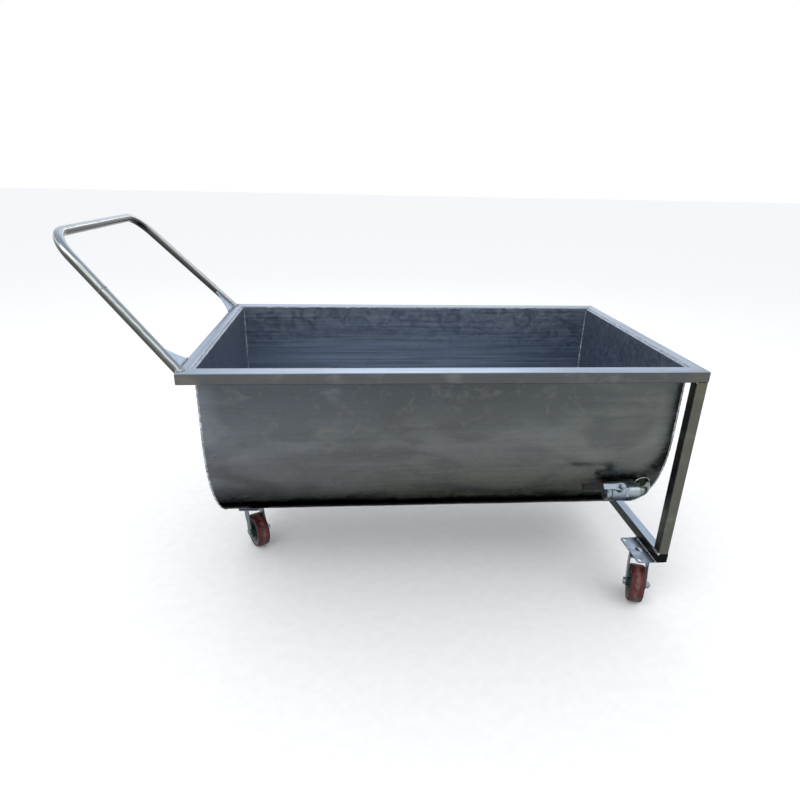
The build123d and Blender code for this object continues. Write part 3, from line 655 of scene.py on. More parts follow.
# The tub
def tub_wall_tree():
    """Wraps a flat grid into the tub's U, with shallow waves that die out at its edges."""
    sockets = [("Length", "Float"), ("Radius", "Float"), ("Straight", "Float"), ("Wave height", "Float")]
    sockets += [("Wave spacing", "Float"), ("Fade", "Float"), ("Seed", "Int"), ("Material", "Material")]
    tree, given = new_tree("Tub wall", sockets)
    half_arc = add(tree, "ShaderNodeMath", {0: given["Radius"], 1: math.pi / 2}, operation="MULTIPLY").outputs[0]
    half = add(tree, "ShaderNodeMath", {0: half_arc, 1: given["Straight"]}, operation="ADD").outputs[0]
    whole = add(tree, "ShaderNodeMath", {0: half, 1: 2.0}, operation="MULTIPLY").outputs[0]
    sizes = {"Size X": given["Length"], "Size Y": whole, "Vertices X": 121, "Vertices Y": 181}
    grid = add(tree, "GeometryNodeMeshGrid", sizes).outputs["Mesh"]
    place = add(tree, "GeometryNodeInputPosition").outputs[0]
    flat = add(tree, "ShaderNodeSeparateXYZ", {0: place}).outputs
    reach = add(tree, "ShaderNodeMath", {0: flat[1]}, operation="ABSOLUTE").outputs[0]
    turned = add(tree, "ShaderNodeMath", {0: reach, 1: half_arc}, operation="MINIMUM").outputs[0]
    angle = add(tree, "ShaderNodeMath", {0: turned, 1: given["Radius"]}, operation="DIVIDE").outputs[0]
    side = add(tree, "ShaderNodeMath", {0: flat[1]}, operation="SIGN").outputs[0]
    sine = add(tree, "ShaderNodeMath", {0: angle}, operation="SINE").outputs[0]
    cosine = add(tree, "ShaderNodeMath", {0: angle}, operation="COSINE").outputs[0]
    above = add(tree, "ShaderNodeMath", {0: reach, 1: turned}, operation="SUBTRACT").outputs[0]
    span = add(tree, "ShaderNodeMath", {0: given["Length"], 1: 0.5}, operation="MULTIPLY").outputs[0]
    along = add(tree, "ShaderNodeMath", {0: flat[0]}, operation="ABSOLUTE").outputs[0]
    to_end = add(tree, "ShaderNodeMath", {0: span, 1: along}, operation="SUBTRACT").outputs[0]
    to_top = add(tree, "ShaderNodeMath", {0: half, 1: reach}, operation="SUBTRACT").outputs[0]
    to_edge = add(tree, "ShaderNodeMath", {0: to_end, 1: to_top}, operation="MINIMUM").outputs[0]
    fade = add(tree, "ShaderNodeMath", {0: to_edge, 1: given["Fade"]}, operation="DIVIDE", use_clamp=True).outputs[0]
    rate = add(tree, "ShaderNodeMath", {0: 1.0, 1: given["Wave spacing"]}, operation="DIVIDE").outputs[0]
    fed = {"Vector": place, "W": given["Seed"], "Scale": rate, "Detail": 1.0}
    noise = add(tree, "ShaderNodeTexNoise", fed, noise_dimensions="4D")
    swing = add(tree, "ShaderNodeMath", {0: noise.outputs[0], 1: 0.5}, operation="SUBTRACT").outputs[0]
    wave = add(tree, "ShaderNodeMath", {0: swing, 1: given["Wave height"]}, operation="MULTIPLY").outputs[0]
    wave = add(tree, "ShaderNodeMath", {0: wave, 1: fade}, operation="MULTIPLY").outputs[0]
    radius = add(tree, "ShaderNodeMath", {0: given["Radius"], 1: wave}, operation="ADD").outputs[0]
    out = add(tree, "ShaderNodeMath", {0: radius, 1: sine}, operation="MULTIPLY").outputs[0]
    out = add(tree, "ShaderNodeMath", {0: out, 1: side}, operation="MULTIPLY").outputs[0]
    down = add(tree, "ShaderNodeMath", {0: radius, 1: cosine}, operation="MULTIPLY").outputs[0]
    height = add(tree, "ShaderNodeMath", {0: above, 1: down}, operation="SUBTRACT").outputs[0]
    bent = add(tree, "ShaderNodeCombineXYZ", {0: flat[0], 1: out, 2: height}).outputs[0]
    moved = add(tree, "GeometryNodeSetPosition", {"Geometry": grid, "Position": bent}).outputs[0]
    flipped = add(tree, "GeometryNodeFlipFaces", {0: moved}).outputs[0]
    smooth = add(tree, "GeometryNodeSetShadeSmooth", {0: flipped}).outputs[0]
    real = add(tree, "GeometryNodeRealizeInstances", {0: smooth}).outputs[0]
    dressed = add(tree, "GeometryNodeSetMaterial", {0: real, "Material": given["Material"]}).outputs[0]
    add(tree, "NodeGroupOutput", {0: dressed})
    return tree


def drain_line():
    """Where the drain leaves the tub's axis, and the way that it points."""
    pipe = Vector(JOINTS["valve_turn"]["pos_m"])
    elbow_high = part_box("drain_elbow")[1].x
    pipe_radius = (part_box("drain_nipple")[1].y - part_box("drain_nipple")[0].y) / 2
    start = Vector((elbow_high - pipe_radius, 0, TUB_AXIS))
    way = Vector((0, pipe.y, pipe.z - TUB_AXIS)).normalized()
    return start, way, pipe_radius


class FEEDCART_OT_tub(bpy.types.Operator):
    """Builds the tub's bent wall and dresses its two end plates"""

    bl_idname = "feed_cart.tub"
    bl_label = "Tub"

    def execute(self, context):
        settings = context.scene.feed_cart.tub
        outside = rolled_stainless_outside(settings)
        inside = rolled_stainless_inside(settings.inside)
        worker = draft("tub_wall_draft", bpy.data.meshes.new("tub_wall_draft"))
        values = {
            "Length": TUB_HIGH.x - TUB_LOW.x,
            "Radius": TUB_RADIUS,
            "Straight": TUB_HIGH.z - TUB_AXIS,
            "Wave height": settings.wave_height * 2,
            "Wave spacing": settings.wave_spacing,
            "Fade": 0.08,
            "Seed": 3,
            "Material": outside,
        }
        feed_tree(worker, tub_wall_tree(), values)
        sheet = settled(worker, "tub_sheet_flat")
        sheet.transform(Matrix.Translation(((TUB_LOW.x + TUB_HIGH.x) / 2, 0, TUB_AXIS)))
        if len(sheet.materials) == 0:
            sheet.materials.append(outside)
        sheet.materials.append(inside)
        worker = draft("tub_wall_draft", sheet)
        thick = worker.modifiers.new("Sheet", "SOLIDIFY")
        thick.thickness = settings.sheet
        thick.offset = -1
        thick.material_offset = 1
        drill = draft("drain_drill", self.drill_mesh(settings.drain_bore))
        hole = worker.modifiers.new("Drain hole", "BOOLEAN")
        hole.operation = "DIFFERENCE"
        hole.solver = "EXACT"
        hole.object = drill
        wall = smoothed(settled(worker, "tub_wall"), 40)
        bpy.data.objects.remove(drill)
        put("tub_wall", wall, "tub_sheet")
        for node in ("handle_end_plate", "leg_end_plate"):
            self.end_plate(node, outside, inside)
        return {"FINISHED"}

    def drill_mesh(self, bore):
        """A round bar along the drain, from inside the tub to outside it."""
        start, way, _ = drain_line()
        work = bmesh.new()
        turn = way.to_track_quat("Z", "Y").to_matrix().to_4x4()
        middle = Matrix.Translation(start + way * TUB_RADIUS) @ turn
        size = {"radius1": bore, "radius2": bore, "depth": 0.1}
        bmesh.ops.create_cone(work, cap_ends=True, segments=64, matrix=middle, **size)
        return from_bmesh("drain_drill", work)

    def end_plate(self, node, outside, inside):
        """One end plate, whose inner face takes the inside finish."""
        piece = refined(node, outside, 0.3)
        piece.data.materials.append(inside)
        inward = -1 if node.startswith("leg") else 1
        for face in piece.data.polygons:
            if face.normal.x * inward > 0.5 or (face.normal.z > 0.5 and face.center.z > TUB_AXIS):
                face.material_index = 1


# The rim, legs and handle
def rim_finishes(context):
    """The tubes' finishes, with the grain along each tube."""
    settings = context.scene.feed_cart.tube
    along_x = satin_stainless_tube("satin_tube_long_rails", settings, (160, 1.6, 1.6))
    along_y = satin_stainless_tube("satin_tube_cross_rails", settings, (1.6, 160, 1.6))
    along_z = satin_stainless_tube("satin_tube_legs", settings, (1.6, 1.6, 160), True, settings.leg_face)
    bar = satin_stainless_tube("satin_tube_cross_bar", settings, (1.6, 160, 1.6), inner_dark=True)
    return along_x, along_y, along_z, bar


class FEEDCART_OT_frame(bpy.types.Operator):
    """Dresses the rim's rails, the legs, the cross bar, its plugs, the gussets and the saddle"""

    bl_idname = "feed_cart.frame"
    bl_label = "Rim and legs"

    def execute(self, context):
        along_x, along_y, along_z, bar = rim_finishes(context)
        plate = cut_stainless_plate(context.scene.feed_cart.tube)
        plug = moulded_plug()
        for side in ("front", "rear"):
            refined(side + "_rail", along_x, 0.2)
            refined(side + "_leg", along_z, 0.2)
            refined(side + "_end_plug", plug, 0.0)
            refined(side + "_gusset", plate, 0.5)
        for node in ("handle_end_rail", "leg_end_rail"):
            refined(node, along_y, 0.2)
        refined("cross_bar", bar, 0.2)
        refined("caster_saddle", plate, 0.8)
        return {"FINISHED"}


def handle_points(settings):
    """The handle's foot and shoulder on the front side, on the tube's axis."""
    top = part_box("push_handle")
    foot = Vector((RIM_LEFT, RIM_FRONT + settings.foot_inset, RIM_TOP))
    reach_x = top[0].x + settings.handle_radius
    shoulder = Vector((reach_x, -settings.handle_top / 2, top[1].z - settings.handle_radius))
    return foot, shoulder


def rounded_path(corners, radius, step_degrees=4):
    """A path through corner points with each inner corner turned to an arc."""
    path = [corners[0]]
    for before, corner, after in zip(corners, corners[1:], corners[2:]):
        back, ahead = (before - corner).normalized(), (after - corner).normalized()
        half = back.angle(ahead) / 2
        centre = corner + (back + ahead).normalized() * radius / math.sin(half)
        start = corner + back * radius / math.tan(half) - centre
        axis = start.cross(corner + ahead * radius / math.tan(half) - centre).normalized()
        sweep = math.pi - 2 * half
        steps = max(2, round(math.degrees(sweep) / step_degrees))
        path += [centre + Matrix.Rotation(sweep * i / steps, 3, axis) @ start for i in range(steps + 1)]
    return path + [corners[-1]]


def divided(path, step):
    """The same path with points no further apart than a step."""
    fine = [path[0]]
    for start, end in zip(path, path[1:]):
        count = max(1, math.ceil((end - start).length / step))
        fine += [start.lerp(end, (i + 1) / count) for i in range(count)]
    return fine


def swept(name, path, radius, around=40):
    """A round bar along a path."""
    work = bmesh.new()
    tangent = (path[1] - path[0]).normalized()
    side = tangent.orthogonal().normalized()
    rings = []
    for i, point in enumerate(path):
        ahead = (path[min(i + 1, len(path) - 1)] - path[max(i - 1, 0)]).normalized()
        side = (tangent.rotation_difference(ahead) @ side).normalized()
        tangent = ahead
        up = tangent.cross(side)
        angles = [2 * math.pi * k / around for k in range(around)]
        rings.append([work.verts.new(point + radius * (side * math.cos(a) + up * math.sin(a))) for a in angles])
    for low, high in zip(rings, rings[1:]):
        for k in range(around):
            work.faces.new((low[k], low[(k + 1) % around], high[(k + 1) % around], high[k]))
    work.faces.new(rings[0][::-1])
    work.faces.new(rings[-1])
    return from_bmesh(name, work)


class FEEDCART_OT_handle(bpy.types.Operator):
    """Bends the push handle and notches its feet over the rim"""

    bl_idname = "feed_cart.handle"
    bl_label = "Push handle"

    def execute(self, context):
        settings = context.scene.feed_cart.tube
        foot, shoulder = handle_points(settings)
        low_end = foot + (foot - shoulder).normalized() * 0.03
        mirror = Matrix.Diagonal((1, -1, 1))
        corners = [low_end, shoulder, mirror @ shoulder, mirror @ low_end]
        path = divided(rounded_path(corners, settings.handle_bend), 0.02)
        worker = draft("push_handle_draft", swept("push_handle_draft", path, settings.handle_radius))
        work = bmesh.new()
        bmesh.ops.create_cube(work, size=2.0)
        block = Matrix.Translation((RIM_LEFT + 1, 0, RIM_TOP - 1))
        bmesh.ops.transform(work, matrix=block, verts=work.verts)
        rim = draft("rim_block", from_bmesh("rim_block", work))
        notch = worker.modifiers.new("Notch", "BOOLEAN")
        notch.operation = "DIFFERENCE"
        notch.solver = "EXACT"
        notch.object = rim
        mesh = smoothed(settled(worker, "push_handle"), 40)
        bpy.data.objects.remove(rim)
        put("push_handle_tube", mesh, "push_handle", materials=[polished_stainless_tube()])
        return {"FINISHED"}


# Casters
def caster_place(caster):
    """A caster's kingpin, and the matrix from its wheel's own axes: X trails, Y is the axle, Z is up."""
    pin = Vector(JOINTS[caster + "_swivel_turn"]["pos_m"])
    wheel = Vector(JOINTS[caster + "_wheel_spin"]["pos_m"])
    axle = Vector(JOINTS[caster + "_wheel_spin"]["axis"])
    trail = axle.cross(Vector((0, 0, 1)))
    turn = Matrix((trail, axle, Vector((0, 0, 1)))).transposed().to_4x4()
    return pin, Matrix.Translation(wheel) @ turn


def lathed(name, profile, steps=96):
    """A ring about the Y axis from a closed profile of radius and distance along the axle."""
    work = bmesh.new()
    rings = []
    for i in range(steps):
        angle = 2 * math.pi * i / steps
        rings.append([work.verts.new((r * math.cos(angle), along, r * math.sin(angle))) for r, along in profile])
    for i, ring in enumerate(rings):
        after = rings[(i + 1) % steps]
        for k in range(len(profile)):
            n = (k + 1) % len(profile)
            work.faces.new((ring[k], ring[n], after[n], after[k]))
    return from_bmesh(name, work)


def tread_profile(settings, outer, inner, half):
    """The tread's section: crowned, with round shoulders."""
    soft = settings.shoulder
    edge = half - soft
    crown = [(outer - settings.crown * (a / 8) ** 2, edge * a / 8) for a in range(-8, 9)]
    crown[8] = (outer, 0.0)
    turns = [math.radians(15 * i) for i in range(1, 7)]
    low = outer - settings.crown - soft
    right = [(low + soft * math.cos(t), edge + soft * math.sin(t)) for t in turns]
    left = [(r, -along) for r, along in reversed(right)]
    return left + crown + right + [(inner, half - 0.4 * MM), (inner, -half + 0.4 * MM)]


def store(mesh, name, values):
    """Keeps one number for each vertex of a mesh."""
    mesh.attributes.new(name, "FLOAT", "POINT").data.foreach_set("value", values)


class FEEDCART_OT_casters(bpy.types.Operator):
    """Builds the treads and dresses the forks, plates, wheel centres and fasteners of the casters"""

    bl_idname = "feed_cart.casters"
    bl_label = "Casters"

    def execute(self, context):
        settings = context.scene.feed_cart.caster
        tread, hub = polyurethane_tread(settings), moulded_wheel_centre(settings)
        # Each pair is a painted shade tone for downward and upright faces and a painted sky-reflection tone for upward
        # ones.
        pressed = zinc_plated_steel("zinc_plated_fork", "#2f3638", "#66737a")
        plate = zinc_plated_steel("zinc_plated_plate", "#66758a", "#a9b9d0")
        bright = zinc_plated_steel("zinc_plated_fasteners", "#6a7478", "#b3bdc4")
        steel = ground_steel()
        for caster in CASTERS:
            name = caster + "_caster_"
            self.tread(caster, settings, tread)
            self.hub(caster, hub)
            refined(name + "fork", pressed, 0.6)
            refined(name + "plate", plate, 0.5)
            refined(name + "upper_race", plate, 0.5)
            refined(name + "kingpin", bright, 0.3)
            refined(name + "axle_bolt", bright, 0.4)
            refined(name + "axle_nut", bright, 0.4)
            for hidden in ("swivel_balls", "axle_sleeve"):
                paint(name + hidden, steel)
        return {"FINISHED"}

    def tread(self, caster, settings, made):
        """One tread, with each vertex's place across it kept for the dusty band round its middle and for the painted
        shade on its shoulders.
        """
        low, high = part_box(caster + "_caster_wheel_tread")
        _, matrix = caster_place(caster)
        outer = (high.z - low.z) / 2
        ring = [matrix.inverted() @ v.co for v in NODES[caster + "_caster_wheel_tread"].data.vertices]
        half = max(v.y for v in ring)
        inner = min(math.hypot(v.x, v.z) for v in ring)
        mesh = lathed(caster + "_tread", tread_profile(settings, outer, inner, half))
        store(mesh, "across", [v.co.y / half for v in mesh.vertices])
        mesh.transform(matrix)
        put(caster + "_tread", smoothed(mesh, 50), caster + "_caster_wheel_tread", materials=[made])

    def hub(self, caster, made):
        """One wheel centre, with each vertex's distance from the axle kept for the rubbed ring."""
        piece = refined(caster + "_caster_wheel_hub", made, 0.8)
        _, matrix = caster_place(caster)
        local = [matrix.inverted() @ v.co for v in piece.data.vertices]
        store(piece.data, "radius", [math.hypot(v.x, v.z) for v in local])


# The drain and its valve
class FEEDCART_OT_drain(bpy.types.Operator):
    """Dresses the drain's elbow, socket and ball valve"""

    bl_idname = "feed_cart.drain"
    bl_label = "Drain valve"

    def execute(self, context):
        cast = cast_stainless()
        # Each pair is a painted shade tone for downward faces and a lighter tone for upward ones.
        turned = turned_fitting("turned_socket", "#49545a", "#a3adb4")
        dull = turned_fitting("pickled_elbow", "#4d5453", "#7d837f")
        bright = zinc_plated_steel("zinc_plated_valve_nuts", "#4b5358", "#8d99a2")
        steel = ground_steel()
        refined("drain_elbow", dull, 0.3)
        refined("drain_socket", turned, 0.8)
        refined("valve_body", cast, 0.6)
        refined("valve_outlet_end", cast, 0.5)
        refined("valve_packing_nut", bright, 0.4)
        refined("valve_lever_nut", bright, 0.4)
        refined("valve_lever", pressed_lever(), 0.4)
        refined("valve_lever_sleeve", dipped_vinyl(), 0.4)
        for node, made in (("valve_stem", bright), ("valve_ball", steel), ("drain_nipple", turned)):
            paint(node, made)
        paint("valve_seats", turned_ptfe())
        return {"FINISHED"}


# Welds
def bead_tree():
    """Lays overlapping ripples along each path, as a fillet weld."""
    sockets = [("Pitch", "Float"), ("Seed", "Int"), ("Material", "Material")]
    tree, given = new_tree("Ripple bead", sockets)
    curve = add(tree, "GeometryNodeMeshToCurve", {0: given["Geometry"]}).outputs[0]
    dots = add(tree, "GeometryNodeResampleCurve", {0: curve, "Length": given["Pitch"]}, mode="LENGTH")
    size = add(tree, "GeometryNodeInputNamedAttribute", {"Name": "bead"}, data_type="FLOAT").outputs[0]
    wobble = add(tree, "FunctionNodeRandomValue", {2: 0.85, 3: 1.15, "Seed": given["Seed"]}, data_type="FLOAT")
    wide = add(tree, "ShaderNodeMath", {0: size, 1: wobble.outputs[1]}, operation="MULTIPLY").outputs[0]
    short = add(tree, "ShaderNodeMath", {0: wide, 1: 0.7}, operation="MULTIPLY").outputs[0]
    scale = add(tree, "ShaderNodeCombineXYZ", {0: wide, 1: wide, 2: short}).outputs[0]
    ripple = add(tree, "GeometryNodeMeshUVSphere", {"Segments": 8, "Rings": 5, "Radius": 1.0}).outputs[0]
    tangent = add(tree, "GeometryNodeInputTangent").outputs[0]
    turn = add(tree, "FunctionNodeAlignRotationToVector", {"Vector": tangent}, axis="Z").outputs[0]
    placed = {"Points": dots.outputs[0], "Instance": ripple, "Rotation": turn, "Scale": scale}
    laid = add(tree, "GeometryNodeInstanceOnPoints", placed).outputs[0]
    real = add(tree, "GeometryNodeRealizeInstances", {0: laid}).outputs[0]
    smooth = add(tree, "GeometryNodeSetShadeSmooth", {0: real}).outputs[0]
    dressed = add(tree, "GeometryNodeSetMaterial", {0: smooth, "Material": given["Material"]}).outputs[0]
    add(tree, "NodeGroupOutput", {0: dressed})
    return tree


def seam_tree():
    """Runs a thin uneven rod along each path, as a long ground seam."""
    sockets = [("Pitch", "Float"), ("Seed", "Int"), ("Material", "Material")]
    tree, given = new_tree("Thin seam", sockets)
    curve = add(tree, "GeometryNodeMeshToCurve", {0: given["Geometry"]}).outputs[0]
    line = add(tree, "GeometryNodeResampleCurve", {0: curve, "Length": given["Pitch"]}, mode="LENGTH")
    size = add(tree, "GeometryNodeInputNamedAttribute", {"Name": "bead"}, data_type="FLOAT").outputs[0]
    wobble = add(tree, "FunctionNodeRandomValue", {2: 0.75, 3: 1.2, "Seed": given["Seed"]}, data_type="FLOAT")
    scale = add(tree, "ShaderNodeMath", {0: size, 1: wobble.outputs[1]}, operation="MULTIPLY").outputs[0]
    profile = add(tree, "GeometryNodeCurvePrimitiveCircle", {"Resolution": 6, "Radius": 1.0}).outputs[0]
    sized = add(tree, "GeometryNodeSetCurveRadius", {0: line.outputs[0], "Radius": scale}).outputs[0]
    swept_rod = add(tree, "GeometryNodeCurveToMesh", {"Curve": sized, "Profile Curve": profile, "Fill Caps": True})
    for socket in swept_rod.inputs:
        if socket.name == "Scale":
            tree.links.new(scale, socket)
    real = add(tree, "GeometryNodeRealizeInstances", {0: swept_rod.outputs[0]}).outputs[0]
    smooth = add(tree, "GeometryNodeSetShadeSmooth", {0: real}).outputs[0]
    dressed = add(tree, "GeometryNodeSetMaterial", {0: smooth, "Material": given["Material"]}).outputs[0]
    add(tree, "NodeGroupOutput", {0: dressed})
    return tree


def path_mesh(name, paths):
    """Open polylines as loose edges, each with its bead's radius."""
    points, edges, sizes = [], [], []
    for radius, path in paths:
        first = len(points)
        points += [tuple(p) for p in path]
        edges += [(first + i, first + i + 1) for i in range(len(path) - 1)]
        sizes += [radius] * len(path)
    mesh = bpy.data.meshes.new(name)
    mesh.from_pydata(points, edges, [])
    store(mesh, "bead", sizes)
    return mesh


def tub_section(radius, x):
    """Points down one wall, round the bottom and up the other, at one station along the cart."""
    arc = [math.radians(3 * i) for i in range(-30, 31)]
    curve = [Vector((x, radius * math.sin(a), TUB_AXIS - radius * math.cos(a))) for a in arc]
    return [Vector((x, -radius, TUB_HIGH.z))] + curve + [Vector((x, radius, TUB_HIGH.z))]


def foot_rings(settings, side):
    """The two half ellipses where the handle's tube meets the rim's top face and its end face."""
    foot, shoulder = handle_points(settings)
    foot.y *= side
    shoulder.y *= side
    way = (shoulder - foot).normalized()
    first = way.orthogonal().normalized()
    second = way.cross(first)
    top, end = [], []
    for i in range(73):
        angle = math.radians(5 * i)
        point = foot + settings.handle_radius * (first * math.cos(angle) + second * math.sin(angle))
        on_top = point + way * ((RIM_TOP - point.z) / way.z)
        on_end = point + way * ((RIM_LEFT - point.x) / way.x)
        if on_top.x >= RIM_LEFT:
            top.append(on_top)
        if on_end.z <= RIM_TOP:
            end.append(on_end)
    return [unbroken(top), unbroken(end)]


def unbroken(points):
    """The same ring of points, started after its one gap."""
    gaps = [(points[i] - points[i - 1]).length for i in range(len(points))]
    start = gaps.index(max(gaps))
    return points[start:] + points[:start]


def gusset_lines(settings, side):
    """The gusset's edges against the tube and the rail, on both of its faces."""
    foot, shoulder = handle_points(settings)
    foot.y *= side
    shoulder.y *= side
    up = Vector((shoulder.x - foot.x, 0, shoulder.z - foot.z))
    rise = up.length
    up.normalize()
    inward = Vector((0, -math.copysign(1, foot.y), 0))
    lean = abs(foot.y - shoulder.y) / rise
    out = inward.cross(up) * settings.gusset_sheet / 2
    near = settings.handle_radius * math.sqrt(1 + lean**2)
    lines = []
    for face in (out, -out):
        base = foot + face
        corner = base + inward * near
        lines.append([corner, base + inward * (near + lean * settings.gusset_on_tube) + up * settings.gusset_on_tube])
        lines.append([corner, base + inward * settings.gusset_on_rail])
    return lines


def splice_ring(settings):
    """The round weld where the handle's front leg is spliced."""
    foot, shoulder = handle_points(settings)
    way = (shoulder - foot).normalized()
    first = way.orthogonal().normalized()
    second = way.cross(first)
    middle = foot + way * settings.splice
    angles = [2 * math.pi * i / 36 for i in range(37)]
    return [middle + settings.handle_radius * (first * math.cos(a) + second * math.sin(a)) for a in angles]


def drain_ring():
    """Where the drain's pipe meets the tub's round wall."""
    start, way, radius = drain_line()
    across = Vector((1, 0, 0)).cross(way)
    ring = []
    for i in range(49):
        angle = 2 * math.pi * i / 48
        out = radius * math.sin(angle)
        along = math.sqrt(TUB_RADIUS**2 - out**2)
        ring.append(start + way * along + Vector((radius * math.cos(angle), 0, 0)) + across * out)
    return ring


def socket_ring():
    """Where the drain's elbow enters its socket."""
    _, _, radius = drain_line()
    socket_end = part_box("drain_socket")[1].x
    centre = Vector(JOINTS["valve_turn"]["pos_m"])
    angles = [2 * math.pi * i / 48 for i in range(49)]
    radius *= 1.05
    return [Vector((socket_end, centre.y + radius * math.cos(a), centre.z + radius * math.sin(a))) for a in angles]


class FEEDCART_OT_welds(bpy.types.Operator):
    """Lays the fillet welds, thin seams and tack marks that join the cart's body"""

    bl_idname = "feed_cart.welds"
    bl_label = "Welds"

    def execute(self, context):
        settings = context.scene.feed_cart
        made = weld_metal()
        beads = bead_tree()
        self.lay(settings.weld, beads, "weld_beads", self.fillets(settings), settings.weld.pitch, made)
        self.lay(settings.weld, seam_tree(), "weld_seams", self.seams(settings), settings.weld.seam_pitch, made)
        self.lay(settings.weld, beads, "weld_tacks", self.tacks(settings), settings.weld.tack_pitch, made)
        return {"FINISHED"}

    def lay(self, settings, tree, name, paths, pitch, made):
        """One mesh of welds from a node tree."""
        worker = draft(name + "_draft", path_mesh(name + "_draft", paths))
        feed_tree(worker, tree, {"Pitch": pitch, "Seed": settings.seed, "Material": made})
        put(name, settled(worker, name), body="cart")

    def fillets(self, settings):
        """Leg, cross bar, plate, saddle, handle, gusset and drain welds."""
        bead = settings.weld.bead
        paths = []
        for side in (-1, 1):
            inner_y = side * (-RIM_FRONT - TUBE)
            outer_y = side * (-RIM_FRONT - 1.5 * MM)
            for z, size in ((LEG_HIGH.z, bead * 0.7), (LEG_LOW.z, bead * 1.3)):
                corner = Vector((LEG_LOW.x, inner_y, z))
                paths.append((size, [Vector((LEG_LOW.x, outer_y, z)), corner]))
                paths.append((size, [corner, Vector((LEG_HIGH.x - 1.5 * MM, inner_y, z))]))
            for ring in foot_rings(settings.tube, side):
                paths.append((bead * 1.15, ring))
            for line in gusset_lines(settings.tube, side):
                paths.append((bead * 0.6, line))
        for caster in ("front", "rear"):
            low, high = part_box(caster + "_caster_plate")
            bar_low, bar_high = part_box("cross_bar")
            paths.append((bead, [Vector((bar_low.x, low.y, high.z)), Vector((bar_low.x, high.y, high.z))]))
            paths.append((bead, [Vector((high.x, low.y, high.z)), Vector((high.x, high.y, high.z))]))
        low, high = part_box("caster_saddle")
        for x in (low.x, high.x):
            ys = [low.y + (high.y - low.y) * i / 24 for i in range(25)]
            paths.append((bead, [Vector((x, y, TUB_AXIS - math.sqrt(TUB_RADIUS**2 - y**2))) for y in ys]))
            paths.append((bead * 0.8, [Vector((x, low.y, low.z)), Vector((x, high.y, low.z))]))
        for x in (TUB_LOW.x, TUB_HIGH.x):
            paths.append((bead, tub_section(TUB_RADIUS - settings.tub.sheet, x)))
        paths.append((bead * 0.8, drain_ring()))
        paths.append((bead * 0.4, socket_ring()))
        paths.append((bead * 0.4, splice_ring(settings.tube)))
        return paths

    def seams(self, settings):
        """The seams round the tub's mouth and round its two ends, inside and out."""
        thin = settings.weld.seam
        inner = TUB_RADIUS - settings.tub.sheet
        paths = []
        for x in (TUB_LOW.x, TUB_HIGH.x):
            paths.append((thin * 0.7, tub_section(TUB_RADIUS - 0.2 * MM, x)))
        for side in (-1, 1):
            ends = [Vector((x, side * inner, TUB_HIGH.z)) for x in (TUB_LOW.x, TUB_HIGH.x)]
            paths.append((thin, divided(ends, 0.02)))
        for x in (RIM_LEFT + TUBE, RIM_RIGHT - TUBE):
            ends = [Vector((x, y, TUB_HIGH.z)) for y in (-inner, inner)]
            paths.append((thin, divided(ends, 0.02)))
        return paths

    def tacks(self, settings):
        """Tack marks along the inner edges of the rim."""
        tack = settings.weld.tack
        inner = TUB_RADIUS - 0.5 * MM
        z = TUB_HIGH.z - 1 * MM
        paths = []
        for side in (-1, 1):
            ends = [Vector((x, side * inner, z)) for x in (TUB_LOW.x, TUB_HIGH.x)]
            paths.append((tack * 0.8, ends))
        for x in (RIM_LEFT + TUBE, RIM_RIGHT - TUBE):
            paths.append((tack, [Vector((x, y, z)) for y in (-inner, inner)]))
        return paths


# The stage
def plain_floor():
    """A pale matt floor that looks white to the camera and keeps the cart's shadow."""
    made = blank("pale_floor")
    tree = made.node_tree
    grain = pattern(tree, (30, 30, 30), detail=2.0)
    tone = blend(tree, ramp(tree, grain, 0.3, 0.7), solid(srgb("#fbfbfb")), solid(srgb("#ffffff")))
    return finish(made, tone, 0.9)


def white_world(world):
    """Soft even light, with a white background for the camera and for reflections."""
    world.use_nodes = True
    tree = world.node_tree
    tree.nodes.clear()
    rays = add(tree, "ShaderNodeLightPath").outputs
    mirrored = add(tree, "ShaderNodeMath", {0: rays["Is Glossy Ray"], 1: rays["Is Transmission Ray"]}, operation="MAXIMUM")
    seen = add(tree, "ShaderNodeMath", {0: rays["Is Camera Ray"], 1: mirrored.outputs[0]}, operation="MAXIMUM")
    soft = add(tree, "ShaderNodeBackground", {"Color": solid(srgb("#f6f8fb")), "Strength": 1.0})
    white = add(tree, "ShaderNodeBackground", {"Color": (1, 1, 1, 1), "Strength": 1.0})
    both = add(tree, "ShaderNodeMixShader", {0: seen.outputs[0], 1: soft.outputs[0], 2: white.outputs[0]})
    add(tree, "ShaderNodeOutputWorld", {"Surface": both.outputs[0]})


def lamp(name, place, target, size, watts):
    """A soft square lamp that faces a point."""
    light = bpy.data.lights.new(name, "AREA")
    light.shape = "SQUARE"
    light.size = size
    light.energy = watts
    made = bpy.data.objects.new(name, light)
    made.location = place
    made.rotation_euler = (Vector(target) - Vector(place)).to_track_quat("-Z", "Y").to_euler()
    bpy.context.scene.collection.objects.link(made)


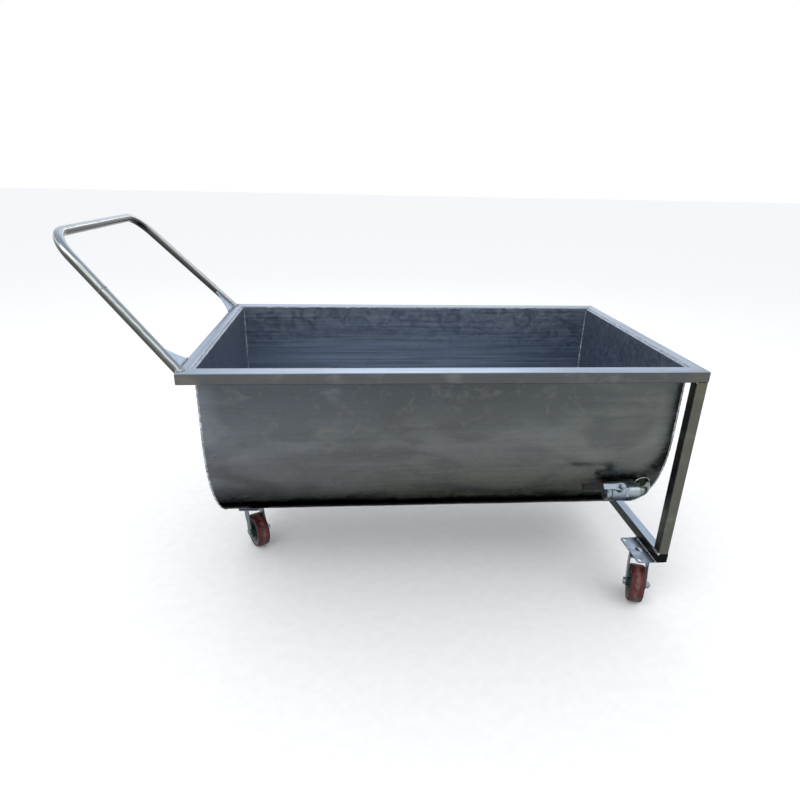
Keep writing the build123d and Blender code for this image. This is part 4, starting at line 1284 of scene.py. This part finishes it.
class FEEDCART_OT_stage(bpy.types.Operator):
    """Adds the camera, the lamps, the white background and the floor"""

    bl_idname = "feed_cart.stage"
    bl_label = "Stage"

    def execute(self, context):
        scene, settings = context.scene, context.scene.feed_cart.stage
        scene.view_settings.view_transform = "Standard"
        lens = bpy.data.cameras.new("camera")
        lens.sensor_width = 36.0
        lens.lens = settings.focal / 800 * lens.sensor_width
        lens.shift_x = (400 - settings.centre[0]) / 800
        lens.shift_y = (settings.centre[1] - 400) / 800
        camera = bpy.data.objects.new("camera", lens)
        scene.collection.objects.link(camera)
        turn = Matrix.Rotation(-settings.heading, 4, "Z") @ Matrix.Rotation(math.pi / 2 - settings.pitch, 4, "X")
        camera.matrix_world = Matrix.Translation(settings.place) @ turn @ Matrix.Rotation(settings.roll, 4, "Z")
        scene.camera = camera
        scene.world = scene.world or bpy.data.worlds.new("world")
        white_world(scene.world)
        lamp("key_lamp", (-1.6, -2.2, 3.0), (0.1, 0, 0.4), 2.2, 34)
        lamp("fill_lamp", (2.6, -1.4, 2.2), (0.1, 0, 0.4), 2.4, 14)
        lamp("back_lamp", (0.2, 2.6, 2.8), (0.1, 0, 0.5), 2.4, 14)
        work = bmesh.new()
        bmesh.ops.create_grid(work, x_segments=1, y_segments=1, size=30.0)
        floor = bpy.data.objects.new("floor", from_bmesh("floor", work))
        floor.data.materials.append(plain_floor())
        scene.collection.objects.link(floor)
        return {"FINISHED"}


class FEEDCART_PT_panel(bpy.types.Panel):
    """Lists the feed cart's pieces"""

    bl_idname = "FEEDCART_PT_panel"
    bl_label = "Feed cart"
    bl_space_type = "VIEW_3D"
    bl_region_type = "UI"
    bl_category = "Feed cart"

    def draw(self, context):
        for operator in OPERATORS:
            self.layout.operator(operator.bl_idname)


OPERATORS = (
    FEEDCART_OT_tub,
    FEEDCART_OT_frame,
    FEEDCART_OT_handle,
    FEEDCART_OT_casters,
    FEEDCART_OT_drain,
    FEEDCART_OT_welds,
    FEEDCART_OT_stage,
)
GROUPS = (TubSettings, TubeSettings, WeldSettings, CasterSettings, StageSettings, CartSettings)
CLASSES = GROUPS + OPERATORS + (FEEDCART_PT_panel,)


def register():
    for item in CLASSES:
        bpy.utils.register_class(item)
    bpy.types.Scene.feed_cart = bpy.props.PointerProperty(type=CartSettings, name="Feed cart", description="Settings")


def unregister():
    del bpy.types.Scene.feed_cart
    for item in reversed(CLASSES):
        bpy.utils.unregister_class(item)


def main():
    register()
    bpy.ops.feed_cart.tub()
    bpy.ops.feed_cart.frame()
    bpy.ops.feed_cart.handle()
    bpy.ops.feed_cart.casters()
    bpy.ops.feed_cart.drain()
    bpy.ops.feed_cart.welds()
    bpy.ops.feed_cart.stage()


if __name__ == "__main__":
    main()
